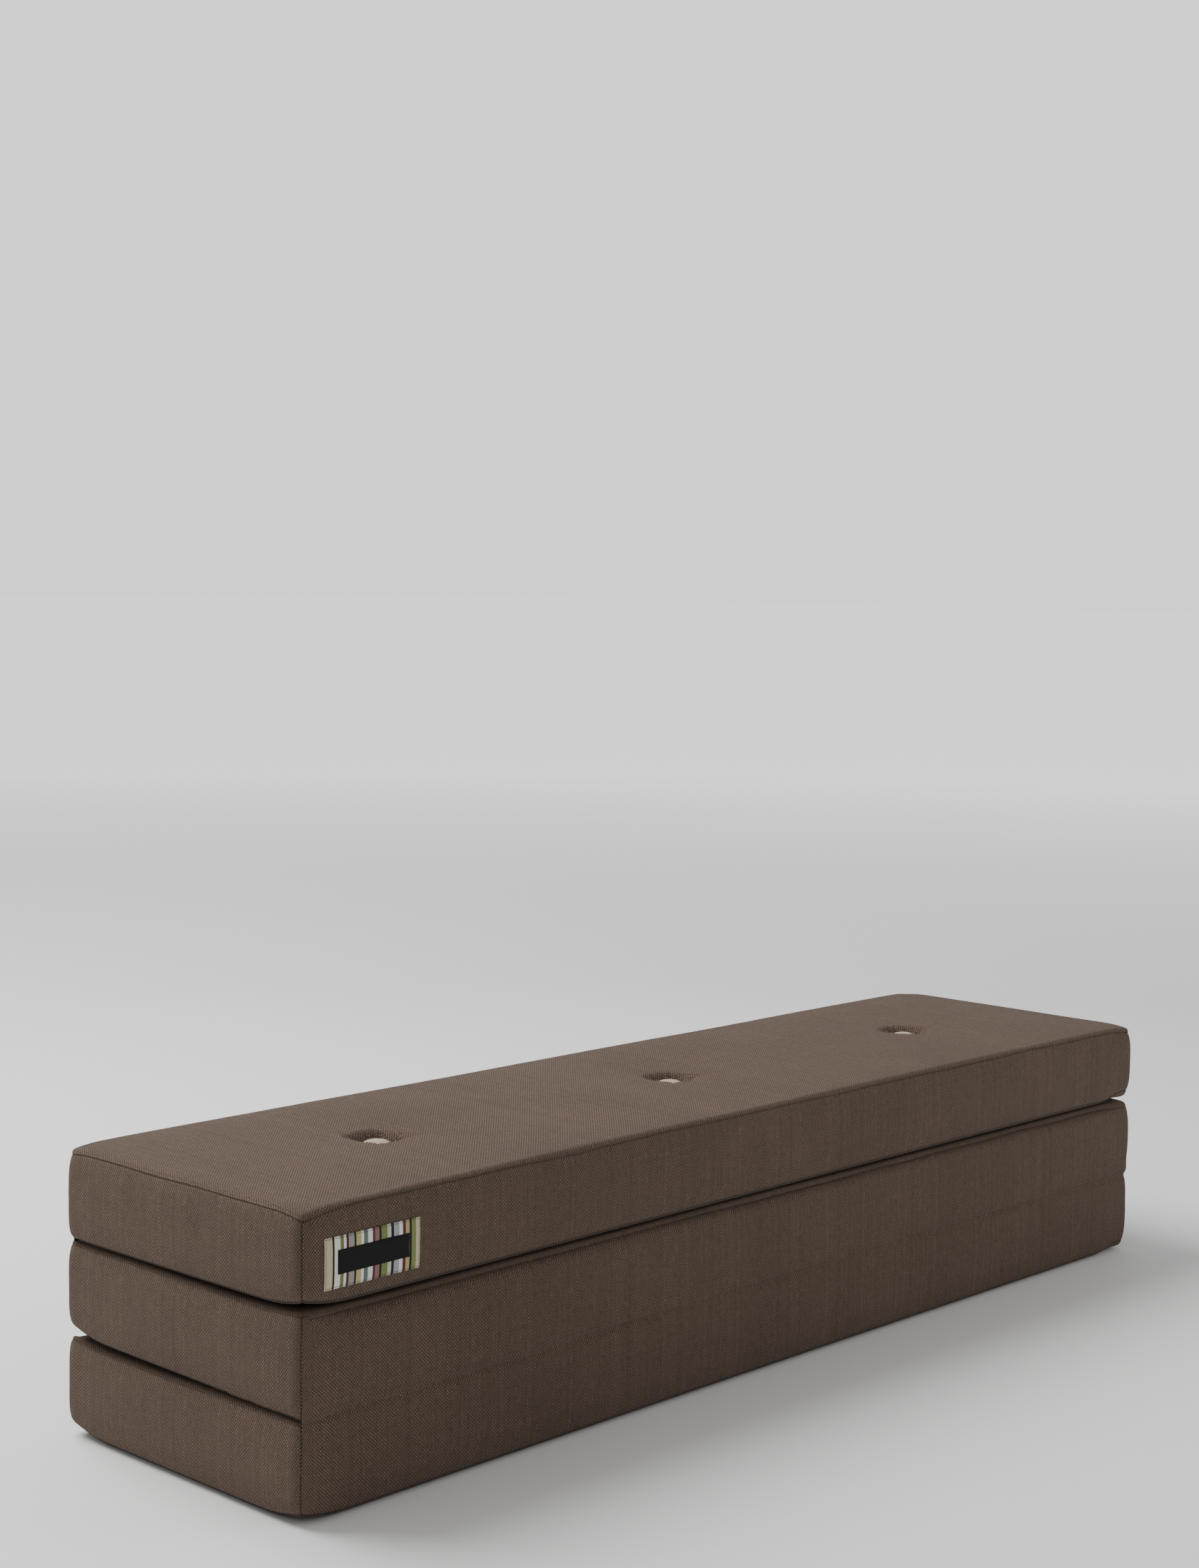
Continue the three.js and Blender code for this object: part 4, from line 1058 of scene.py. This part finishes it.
disc_plastic = bpy.data.materials.new("disc_plastic")
for pad, place, centre, up, radius, foot, height in each_tuft("back", "tie_disc"):
    rings = turned_rings(DISC_PROFILE, DISC_SIDES, centre, up, radius, foot, height)
    blank = add_object("disc_blank", turned_mesh("disc_blank", rings))
    drills = []
    for offset in (-TIE_SPREAD, TIE_SPREAD):
        bpy.ops.mesh.primitive_cylinder_add(vertices=HOLE_SIDES, radius=TIE_HOLE, depth=6 * height,
                                            location=(centre + offset, 0, foot))
        drills.append(bpy.context.object)
        cut = blank.modifiers.new("hole", "BOOLEAN")
        cut.operation, cut.object = "DIFFERENCE", drills[-1]
    drilled = bpy.data.meshes.new_from_object(blank.evaluated_get(bpy.context.evaluated_depsgraph_get()))
    drilled.name = f"{pad}_tie_plate_{place}"
    for used in [blank, *drills]:
        bpy.data.objects.remove(used)
    add_piece(drilled, [disc_plastic], [pad], [f"{pad}_tie_disc_{place}"])

tree, shader = finish_of(disc_plastic)
whole = object_place(tree)
feed(tree, shader, {"Base Color": blend_colours(tree, noise(tree, whole, CLOUD_SCALE, 3)["Fac"], *DISC_TINTS),
                    "Roughness": maths(tree, "MULTIPLY_ADD", noise(tree, whole, SCUFF_SCALE)["Fac"],
                                       *DISC_ROUGHNESS)})

# The twines
# A waxed two-ply twine runs from each button through the foam, through one hole of its tie disc and
# back through the other, so that two strands pull the tuft in.
STRAND_RADIUS, STRAND_SIDES = 0.0006, 8
STRAND_STEPS, ARCH_STEPS = 24, 11
TIE_RISE = 0.0011
PLY_PITCH, PLY_RELIEF = 0.0022, 0.0003
TWINE_ROUGHNESS = (-0.15, 0.75)      # what the crown of a ply adds, and the rest
# the first tint is painted shade in the grooves between the plies, the second the twine's colour on their
# crowns
TWINE_TINTS_WITH_GROOVE_SHADE = ((0.45, 0.38, 0.27, 1), (0.82, 0.77, 0.66, 1))


def tube_mesh(name, route, radius, sides):
    """A round tube along a route in the plane y = 0, closed at its ends, with a map in metres."""
    ways = np.gradient(route, axis=0)
    ways /= np.linalg.norm(ways, axis=1, keepdims=True)
    across = np.array([0.0, 1.0, 0.0])
    rings = [[tuple(route[0])]]
    for point, out in zip(route, np.cross(ways, across)):
        rings.append([tuple(point + radius * (math.cos(a) * out + math.sin(a) * across))
                      for a in (2 * math.pi * step / sides for step in range(sides))])
    rings.append([tuple(route[-1])])
    mesh = turned_mesh(name, rings)
    run = np.concatenate([[0], np.cumsum(np.linalg.norm(np.diff(route, axis=0), axis=1))])
    places = [(length, step / sides) for length in run for step in range(sides)]
    lay_map(mesh, "strand", [(0.0, 0.0), *places, (run[-1], 0.0)])
    return mesh


twine_finish = bpy.data.materials.new("twine_finish")
for twine, disc in zip(each_tuft("back", "twine"), each_tuft("back", "tie_disc")):
    pad, place, centre, up, _, start, _ = twine
    *_, disc_foot, disc_height = disc
    outside = disc_foot + up * DISC_FACE_SHARE * disc_height
    leg = [(centre - TIE_SPREAD, 0, z) for z in np.linspace(start, outside, STRAND_STEPS)]
    arch = [(centre - TIE_SPREAD * math.cos(a), 0, outside + up * TIE_RISE * math.sin(a))
            for a in np.linspace(0, math.pi, ARCH_STEPS)[1:-1]]
    back = [(2 * centre - x, y, z) for x, y, z in reversed(leg)]
    mesh = tube_mesh(f"{pad}_tie_twine_{place}", np.array(leg + arch + back), STRAND_RADIUS, STRAND_SIDES)
    face_outwards(mesh)
    add_piece(mesh, [twine_finish], [pad], [f"{pad}_twine_{place}"])

tree, shader = finish_of(twine_finish)
split = node(tree, "ShaderNodeSeparateXYZ", {0: mapped(tree, "strand")}).outputs
ply = maths(tree, "ADD", maths(tree, "DIVIDE", split["X"], PLY_PITCH), maths(tree, "MULTIPLY", split["Y"], 2))
twist = maths(tree, "ABSOLUTE", maths(tree, "SINE", maths(tree, "MULTIPLY", ply, math.pi)))
# painted shade: the twine is coloured darker in the grooves between its plies
feed(tree, shader, {"Base Color": blend_colours(tree, twist, *TWINE_TINTS_WITH_GROOVE_SHADE),
                    "Normal": bump(tree, twist, PLY_RELIEF),
                    "Roughness": maths(tree, "MULTIPLY_ADD", twist, *TWINE_ROUGHNESS)})

# The side label
# A band of striped ribbon with a plain charcoal bar sewn over its middle. It lies on the front border
# of the top pad near the left corner, held by a line of stitches round its edge.
LABEL_LOW, LABEL_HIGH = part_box("side_label")
LABEL_LIFT = 0.0011      # of the label's face over the border's face
LABEL_CLOTH = 0.0006
LABEL_CELL, LABEL_SEED = 0.002, 81
BAR_SHARES = ((0.13, 0.88), (0.27, 0.74))   # of the label's width and height
BAR_LIFT, BAR_CLOTH = 0.0008, 0.0006
EDGE_PINCH, PINCH_WIDTH = 0.0004, 0.002
RIPPLE, RIPPLE_LENGTH = 0.00015, 0.02
RIBBON_THREADS, RIBBON_RELIEF = (260, 110), 0.0002     # across its width and its height
RIBBON_ROUGHNESS, RIBBON_SPECULAR = (-0.15, 0.8), 0.2
WARP_RANGE, WEFT_RANGE, RIB_SHADE = (0.5, 0.5), (0.4, 0.6), 0.6
INK, CREAM, MILK = (0.02, 0.018, 0.015), (0.86, 0.85, 0.80), (0.88, 0.88, 0.86)
RIBBON_STRIPES = [(0.075, (0.62, 0.55, 0.36)), (0.095, INK), (0.155, CREAM), (0.190, (0.20, 0.22, 0.07)),
                  (0.215, CREAM), (0.240, (0.10, 0.02, 0.02)), (0.300, (0.36, 0.35, 0.32)), (0.320, INK),
                  (0.370, (0.55, 0.47, 0.20)), (0.395, MILK), (0.440, (0.16, 0.20, 0.19)), (0.490, MILK),
                  (0.515, (0.12, 0.02, 0.03)), (0.560, (0.30, 0.17, 0.15)), (0.585, INK),
                  (0.650, (0.22, 0.25, 0.08)), (0.690, (0.62, 0.60, 0.55)), (0.715, INK),
                  (0.770, (0.40, 0.42, 0.42)), (0.810, MILK), (0.840, (0.14, 0.03, 0.03)),
                  (0.880, (0.50, 0.44, 0.20)), (0.905, INK), (0.950, (0.24, 0.27, 0.10)),
                  (1.000, (0.66, 0.60, 0.42))]
CHARCOAL_STRIPES = [(0.5, (0.006, 0.006, 0.006)), (1.0, (0.007, 0.006, 0.006))]


def on_front_border(x, z, outward):
    """Points on the front of the top pad's border at given places, lifted off its face."""
    run, *along = side_path("front")
    edges = strip_edges("upper", "upper", *along)
    low, high = ([np.interp(x, run, values) for values in edge] for edge in edges)
    share = (z - low[0]) / (high[0] - low[0])
    inset, _, _ = border_inset("upper", "front", x, share, low, high, UPPER_FRONT_SEED)
    place_x, place_y = footprint(x, np.full(len(x), -HALF_DEPTH), inset)
    return np.stack([place_x, place_y - outward, z], 1)


def label_cloth(name, start, end, low, high, lift, thickness, ribbon):
    """A rectangle of ribbon on the border, with its edges pressed down by their stitches."""
    columns = math.ceil((end - start) / LABEL_CELL)
    rows = math.ceil((high - low) / LABEL_CELL)
    x = np.repeat(np.linspace(start, end, columns + 1), rows + 1)
    z = np.tile(np.linspace(low, high, rows + 1), columns + 1)
    to_edge = np.minimum(np.minimum(x - start, end - x), np.minimum(z - low, high - z))
    pinch = EDGE_PINCH * bell(to_edge, PINCH_WIDTH)
    ripple = RIPPLE * waves(np.stack([x, z], 1), RIPPLE_LENGTH, LABEL_SEED)
    points = on_front_border(x, z, lift - pinch + np.maximum(ripple, -pinch / 2))
    mesh = new_mesh(name, points.tolist(), grid_faces(columns + 1, rows + 1))
    lay_map(mesh, "ribbon", np.stack([(x - LABEL_LOW.x) / (LABEL_HIGH.x - LABEL_LOW.x),
                                      (z - LABEL_LOW.z) / (LABEL_HIGH.z - LABEL_LOW.z)], 1))
    add_piece(mesh, [ribbon], ["upper"], ["side_label"], thickness)


def ribbon_finish(name, stripes):
    """Fine satin ribbon: warp stripes across its map, with ribs of weft and painted shade between its
    threads.
    """
    material = bpy.data.materials.new(name)
    tree, shader = finish_of(material)
    split = node(tree, "ShaderNodeSeparateXYZ", {0: mapped(tree, "ribbon")}).outputs
    ramp = node(tree, "ShaderNodeValToRGB", {"Fac": split["X"]})
    bands = ramp.color_ramp
    bands.interpolation = "CONSTANT"
    while len(bands.elements) < len(stripes):
        bands.elements.new(0.5)
    for band, start in zip(bands.elements, [0.0] + [end for end, _ in stripes[:-1]]):
        band.position = start
    for band, (_, colour) in zip(bands.elements, stripes):
        band.color = (*colour, 1)
    turns = [maths(tree, "MULTIPLY", split[axis], math.pi * count)
             for axis, count in zip("XY", RIBBON_THREADS)]
    warp, weft = (maths(tree, "ABSOLUTE", maths(tree, "SINE", turn)) for turn in turns)
    thread = maths(tree, "MULTIPLY", maths(tree, "MULTIPLY_ADD", warp, *WARP_RANGE),
                   maths(tree, "MULTIPLY_ADD", weft, *WEFT_RANGE))
    # painted shade: RIB_SHADE darkens the stripes' colour between the threads
    feed(tree, shader, {
        "Base Color": blend_colours(tree, RIB_SHADE, ramp.outputs["Color"], grey(tree, thread), "MULTIPLY"),
        "Roughness": maths(tree, "MULTIPLY_ADD", thread, *RIBBON_ROUGHNESS),
        "Specular IOR Level": RIBBON_SPECULAR,
        "Normal": bump(tree, thread, RIBBON_RELIEF)})
    return material


striped_ribbon = ribbon_finish("striped_ribbon", RIBBON_STRIPES)
charcoal_ribbon = ribbon_finish("charcoal_ribbon", CHARCOAL_STRIPES)
label_x, label_z = (LABEL_LOW.x, LABEL_HIGH.x), (LABEL_LOW.z, LABEL_HIGH.z)
label_cloth("side_label_ribbon", *label_x, *label_z, LABEL_LIFT, LABEL_CLOTH, striped_ribbon)
bar_x, bar_z = [[low + share * (high - low) for share in shares]
                for (low, high), shares in zip((label_x, label_z), BAR_SHARES)]
label_cloth("side_label_bar", *bar_x, *bar_z, LABEL_LIFT + BAR_LIFT, BAR_CLOTH, charcoal_ribbon)

# The seam stitches
# Every seam of the covers is sewn with a dark polyester thread, which shows in its groove as a row of
# short stitches. The rows are laid along the seams by geometry nodes, one piece for each pad.
STITCH_SPACING = 0.0032
STITCH_SIZE = (0.0021, 0.0005, 0.0004)   # length, width and height
STITCH_SEED, STITCH_UNEVENNESS = 5, 0.2
THREAD_RISE = 0.0002     # over the bottom of the groove
HINGED_SHARE = 0.02      # past this the hinge cloth covers the seam
LEAST_STITCH_POINTS = 3
GRAIN_SEGMENTS, GRAIN_RINGS = 7, 4       # of the shape that is repeated
CORNER_RUN_SHARES, LINE_POINTS = (0.04, 0.96), 40
THREAD_TINTS = ((0.045, 0.031, 0.022, 1), (0.140, 0.098, 0.070, 1))
THREAD_SCALE, THREAD_ROUGHNESS = 3500, (0.3, 0.45)


def along_lines_tree(name, size):
    """Geometry nodes that repeat a small rounded shape along lines, standing along their "outward"."""
    tree, given, give = new_group(
        name, "GeometryNodeTree",
        [("Lines", "Geometry", None), ("Spacing", "Float", STITCH_SPACING), ("Size", "Vector", size),
         ("Unevenness", "Float", 0.0), ("Seed", "Int", 1), ("Finish", "Material", None)],
        [("Pieces", "Geometry")])
    curve = node(tree, "GeometryNodeMeshToCurve", {"Mesh": given["Lines"]}).outputs[0]
    spaced = node(tree, "GeometryNodeResampleCurve", {"Curve": curve, "Length": given["Spacing"]},
                  mode="LENGTH")
    grain = node(tree, "GeometryNodeMeshUVSphere", {
        "Segments": GRAIN_SEGMENTS, "Rings": GRAIN_RINGS, "Radius": 0.5}).outputs["Mesh"]
    shaped = node(tree, "GeometryNodeTransform", {"Geometry": grain, "Scale": given["Size"]})
    tangent = node(tree, "GeometryNodeInputTangent").outputs[0]
    lengthwise = node(tree, "FunctionNodeAlignRotationToVector", {"Vector": tangent}, axis="X").outputs[0]
    outward = node(tree, "GeometryNodeInputNamedAttribute", {"Name": "outward"},
                   data_type="FLOAT_VECTOR").outputs[0]
    upright = node(tree, "FunctionNodeAlignRotationToVector", {"Rotation": lengthwise, "Vector": outward},
                   axis="Z", pivot_axis="X")
    least = maths(tree, "SUBTRACT", 1.0, given["Unevenness"])
    chance = node(tree, "FunctionNodeRandomValue", {"Min_001": least, "Max_001": 1.0, "Seed": given["Seed"]},
                  data_type="FLOAT")
    placed = node(tree, "GeometryNodeInstanceOnPoints", {
        "Points": spaced.outputs[0], "Instance": shaped.outputs[0], "Rotation": upright.outputs[0],
        "Scale": output(chance, "Value_001")}).outputs[0]
    real = node(tree, "GeometryNodeRealizeInstances", {0: placed}).outputs[0]
    finished = node(tree, "GeometryNodeSetMaterial", {"Geometry": real, "Material": given["Finish"]})
    give("Pieces", finished.outputs[0])
    return tree


def repeat_along(name, lines, tree, values):
    """The plain mesh that a tree makes along lines, each line its points and their outward directions."""
    points, ways, edges = [], [], []
    for line, outward in lines:
        edges += [(len(points) + step, len(points) + step + 1) for step in range(len(line) - 1)]
        points += [tuple(point) for point in line]
        ways += [tuple(way) for way in outward]
    guide = bpy.data.meshes.new(f"{name}_lines")
    guide.from_pydata(points, edges, [])
    outwards = guide.attributes.new("outward", "FLOAT_VECTOR", "POINT")
    outwards.data.foreach_set("vector", np.array(ways).ravel())
    holder = add_object(f"{name}_lines", guide)
    maker = holder.modifiers.new(tree.name, "NODES")
    maker.node_group = tree
    for socket in tree.interface.items_tree:
        if socket.in_out == "INPUT" and socket.name in values:
            maker[socket.identifier] = values[socket.name]
    mesh = bpy.data.meshes.new_from_object(holder.evaluated_get(bpy.context.evaluated_depsgraph_get()))
    holder.modifiers.remove(maker)
    bpy.data.objects.remove(holder)
    mesh.name = name
    mesh.polygons.foreach_set("use_smooth", [True] * len(mesh.polygons))
    return mesh


def seam_lines(pad):
    """The seams of a pad that aren't covered by a hinge cloth, as lines at the bottom of their grooves."""
    lines = []
    for face in (FACES[pad, "top"], FACES[pad, "bottom"]):
        for side in SIDES:
            _, x, y = side_path(side)
            height, inset = seam_of(face, x, y)
            hinged = {"front": -1, "rear": 1}.get(side) == face["hinge"]
            place_x, place_y = footprint(x, y, inset + SEAM_CURL - THREAD_RISE)
            line = np.stack([place_x, place_y, height - face["side"] * SEAM_GAP / 2], 1)
            outward = np.stack([x - np.clip(x, CORNER - HALF_LENGTH, HALF_LENGTH - CORNER),
                                y - np.clip(y, CORNER - HALF_DEPTH, HALF_DEPTH - CORNER), 0 * x], 1)
            keep = hinge_share(face, x, y) < HINGED_SHARE if hinged else np.full(len(x), True)
            half = len(x) // 2
            for run in ((slice(0, half), slice(half, None)) if hinged else (slice(None),)):
                if keep[run].sum() > LEAST_STITCH_POINTS:
                    lines.append((line[run][keep[run]], outward[run][keep[run]]))
    return lines


def corner_lines(pad):
    """The upright seams at the corners of a pad."""
    lines = []
    share = np.linspace(*CORNER_RUN_SHARES, LINE_POINTS)
    for end, side in ((-1, -1), (-1, 1), (1, -1), (1, 1)):
        x, y = np.array([end * HALF_LENGTH]), np.array([side * HALF_DEPTH])
        low, high = seam_of(FACES[pad, "bottom"], x, y), seam_of(FACES[pad, "top"], x, y)
        inset = roll_in(np.where(share < 0.5, low[1], high[1]), abs(2 * share - 1)) + SEAM_CURL - THREAD_RISE
        place_x, place_y = footprint(np.repeat(x, LINE_POINTS), np.repeat(y, LINE_POINTS), inset)
        line = np.stack([place_x, place_y, low[0] + share * (high[0] - low[0])], 1)
        lines.append((line, np.tile([end, side, 0.0], (LINE_POINTS, 1))))
    return lines


def thread_finish(name, *tints):
    """Polyester thread, of one colour or of two that its fibres mix."""
    thread = bpy.data.materials.new(name)
    tree, shader = finish_of(thread)
    fibres = noise(tree, object_place(tree), THREAD_SCALE)["Fac"]
    feed(tree, shader, {"Base Color": blend_colours(tree, fibres, *tints) if len(tints) > 1 else tints[0],
                        "Roughness": maths(tree, "MULTIPLY_ADD", fibres, *THREAD_ROUGHNESS)})
    return thread


seam_thread = thread_finish("seam_thread", *THREAD_TINTS)
rows_of_thread = along_lines_tree("stitch_rows", STITCH_SIZE)
for row, pad in enumerate(PADS):
    mesh = repeat_along(f"{pad}_seam_stitches", seam_lines(pad) + corner_lines(pad), rows_of_thread,
                        {"Spacing": STITCH_SPACING, "Size": STITCH_SIZE, "Unevenness": STITCH_UNEVENNESS,
                         "Seed": STITCH_SEED + row, "Finish": seam_thread})
    add_piece(mesh, [], [pad], [])

# The label's stitches
# The label is held by the same machine with a fine black thread, about a stitch length inside its edges.
LABEL_HEM = 0.0017
LABEL_STITCH, LABEL_STITCH_SPACING, LABEL_UNEVENNESS = (0.0019, 0.0006, 0.0004), 0.0023, 0.1
BLACK_THREAD = (0.012, 0.010, 0.009, 1)

black_thread = thread_finish("black_thread", BLACK_THREAD)
left, right = LABEL_LOW.x + LABEL_HEM, LABEL_HIGH.x - LABEL_HEM
bottom, top = LABEL_LOW.z + LABEL_HEM, LABEL_HIGH.z - LABEL_HEM
corners = [(left, bottom), (right, bottom), (right, top), (left, top)]
label_runs = []
for start, end in zip(corners, corners[1:] + corners[:1]):
    x, z = np.linspace(start, end, LINE_POINTS).T
    label_runs.append((on_front_border(x, z, np.full(LINE_POINTS, LABEL_LIFT)),
                       np.tile([0.0, -1.0, 0.0], (LINE_POINTS, 1))))
mesh = repeat_along("side_label_stitches", label_runs, rows_of_thread,
                    {"Spacing": LABEL_STITCH_SPACING, "Size": LABEL_STITCH, "Unevenness": LABEL_UNEVENNESS,
                     "Seed": STITCH_SEED, "Finish": black_thread})
add_piece(mesh, [], ["upper"], [])

# The zips
# A zip with moulded teeth closes the right end of each pad beside its back panel: two dark twill tapes
# behind the border and the panel, teeth on their meeting edges, and a bronze slider with a slotted pull.
TAPE_INSET = 0.006       # of the tape's face behind the bulge of the borders
TAPE_CLOTH = 0.0011
TAPE_GAP = 0.0004        # half the gap between the tapes
TAPE_EDGE = 0.0004       # how far the tape's outer edge runs past its solid's
TAPE_ROWS = 14
BEAD, BEAD_WIDTH = 0.0003, 0.0012     # along the tapes' meeting edges
TAPE_TUCKS = [0.002, 0.004, 0.006, 0.009]   # how far its ends run on behind the neighbouring borders
TAPE_THREAD, TAPE_RELIEF, TAPE_SHEEN, TAPE_ROUGHNESS = 0.00042, 0.00012, 0.05, 0.8
# the Gap colour of the tape is painted shade between its yarns
TAPE_YARN = {"Gap_Shade": (0.004, 0.003, 0.003, 1), "Weft": (0.020, 0.015, 0.012, 1),
             "Warp": (0.030, 0.023, 0.018, 1), "Fleck": (0.060, 0.047, 0.037, 1)}
TOOTH_PITCH = 0.003
TOOTH_SIZE = (0.0018, 0.0034, 0.0022)
TOOTH_ROOT = 0.0012      # from the middle of the chain to the middle of a tooth
TOOTH_LIFT = 0.0004      # of the teeth's middle over the tape's face
TOOTH_TINTS = ((0.018, 0.014, 0.012, 1), (0.036, 0.029, 0.024, 1))
TOOTH_CLOUD_SCALE, TOOTH_SCUFF_SCALE, TOOTH_ROUGHNESS = 700, 1500, (0.25, 0.25)
CHAIN_MARGIN = 0.0425    # from the end of the chain to the corner of the pad
STOP_SIZE = (0.003, 0.0058, 0.0024)
STOP_SINK = STOP_GAP = 0.0002
STOP_BEVEL, STOP_BEVEL_STEPS = 0.0005, 2


def zip_tape_mesh(name, pad, part, away, middle):
    """One of the two tapes, from a lap behind its cloth to the middle of the zip."""
    run, x, y = side_path("right")
    tucks = np.array(TAPE_TUCKS)
    run = np.concatenate([run[0] - tucks[::-1], run, run[-1] + tucks])
    x = np.concatenate([HALF_LENGTH - tucks[::-1], x, HALF_LENGTH - tucks])
    y = np.concatenate([0 * tucks - HALF_DEPTH, y, 0 * tucks + HALF_DEPTH])
    low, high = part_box(f"{pad}_zip_tape")
    rim, far = (low.z, high.z) if away > 0 else (high.z, low.z)
    if part == "panel":
        ends = (rim - away * TAPE_EDGE, middle - away * TAPE_GAP)
    else:
        ends = (middle + away * TAPE_GAP, far)
    rows = np.linspace(min(ends), max(ends), TAPE_ROWS)
    columns = len(run)
    run, x, y = (np.repeat(values, TAPE_ROWS) for values in (run, x, y))
    z = np.tile(rows, columns)
    place_x, place_y = footprint(x, y, TAPE_INSET - BEAD * bell(z - middle, BEAD_WIDTH))
    mesh = new_mesh(name, np.stack([place_x, place_y, z], 1).tolist(), grid_faces(columns, TAPE_ROWS))
    lay_map(mesh, "weave", np.stack([run, z], 1))
    return mesh


def stops_mesh(name, front, reach, middle):
    """The two blocks that end a chain of teeth."""
    stops = bmesh.new()
    length, width, height = STOP_SIZE
    for end in (-1, 1):
        block = bmesh.ops.create_cube(stops, size=1)["verts"]
        place = (front - STOP_SINK, end * (reach + length / 2 + STOP_GAP), middle)
        bmesh.ops.scale(stops, verts=block, vec=(height, length, width))
        bmesh.ops.translate(stops, verts=block, vec=place)
    bmesh.ops.bevel(stops, geom=stops.edges[:], offset=STOP_BEVEL, segments=STOP_BEVEL_STEPS, affect="EDGES",
                    profile=0.5)
    mesh = bpy.data.meshes.new(name)
    stops.to_mesh(mesh)
    stops.free()
    return mesh


zip_tape = bpy.data.materials.new("zip_tape_twill")
cloth_finish(zip_tape, TAPE_THREAD, TAPE_YARN, TAPE_RELIEF, TAPE_SHEEN, TAPE_ROUGHNESS)
zip_teeth = bpy.data.materials.new("zip_teeth")
tree, shader = finish_of(zip_teeth)
whole = object_place(tree)
clouds = noise(tree, whole, TOOTH_CLOUD_SCALE)["Fac"]
feed(tree, shader, {"Base Color": blend_colours(tree, clouds, *TOOTH_TINTS),
                    "Roughness": maths(tree, "MULTIPLY_ADD", noise(tree, whole, TOOTH_SCUFF_SCALE)["Fac"],
                                       *TOOTH_ROUGHNESS)})
rows_of_teeth = along_lines_tree("zip_teeth_rows", TOOTH_SIZE)
front = HALF_LENGTH - TAPE_INSET + TOOTH_LIFT
reach = HALF_DEPTH - CHAIN_MARGIN - STOP_SIZE[0]
for pad in PADS:
    nodes = [f"{pad}_zip_tape"]
    middle = sum(c.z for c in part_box(f"{pad}_zip_slider")) / 2
    for part in ("panel", "border"):
        tape = zip_tape_mesh(f"{pad}_zip_{part}_tape", pad, part, -face_of(pad, "back")["side"], middle)
        add_piece(tape, [zip_tape], [pad], nodes, TAPE_CLOTH)
    rows = []
    for row in (-1, 1):
        start = -reach + (row + 1) / 4 * TOOTH_PITCH
        y = start + TOOTH_PITCH * np.arange(int((reach - start) / TOOTH_PITCH))
        rows.append((np.stack([0 * y + front, y, 0 * y + middle + row * TOOTH_ROOT], 1),
                     np.tile([1.0, 0, 0], (len(y), 1))))
    teeth = repeat_along(f"{pad}_zip_teeth", rows, rows_of_teeth,
                         {"Spacing": TOOTH_PITCH, "Size": TOOTH_SIZE, "Seed": 1, "Finish": zip_teeth})
    add_piece(teeth, [], [pad], nodes)
    add_piece(stops_mesh(f"{pad}_zip_stops", front, reach, middle), [zip_teeth], [pad], nodes)

# The sliders and pulls
# They are die-cast and lacquered in dark bronze, which has rubbed to bare metal on their raised
# edges. Their solids from the CAD stay, and take this finish.
LACQUER_TINTS, BARE_METAL = ((0.045, 0.032, 0.022, 1), (0.080, 0.058, 0.040, 1)), (0.42, 0.33, 0.24, 1)
RUBBED_RANGE = (0.58, 0.70)
METALNESS, GRIT_RELIEF, GRIT_SCALE = 0.9, 0.00005, 2600
EDGE_WEAR, SPOT_WEAR, SPOT_SCALE = 0.8, 0.25, 420
LACQUER_SCALE, LACQUER_ROUGHNESS = 160, (-0.15, 0.42)

bronze = bpy.data.materials.new("bronze_lacquer")
tree, shader = finish_of(bronze)
whole = object_place(tree)
raised = maths(tree, "MULTIPLY", node(tree, "ShaderNodeNewGeometry").outputs["Pointiness"], EDGE_WEAR)
spots = maths(tree, "MULTIPLY", noise(tree, whole, SPOT_SCALE, 4)["Fac"], SPOT_WEAR)
worn = maths(tree, "ADD", raised, spots)
rubbed = stretch(tree, worn, *RUBBED_RANGE)
lacquer = blend_colours(tree, noise(tree, whole, LACQUER_SCALE, 3)["Fac"], *LACQUER_TINTS)
feed(tree, shader, {"Base Color": blend_colours(tree, rubbed, lacquer, BARE_METAL), "Metallic": METALNESS,
                    "Roughness": maths(tree, "MULTIPLY_ADD", rubbed, *LACQUER_ROUGHNESS),
                    "Normal": bump(tree, noise(tree, whole, GRIT_SCALE)["Fac"], GRIT_RELIEF)})
for pad in PADS:
    for kind in ("slider", "pull"):
        for place in bpy.data.objects[f"{pad}_zip_{kind}"].material_slots:
            place.material = bronze
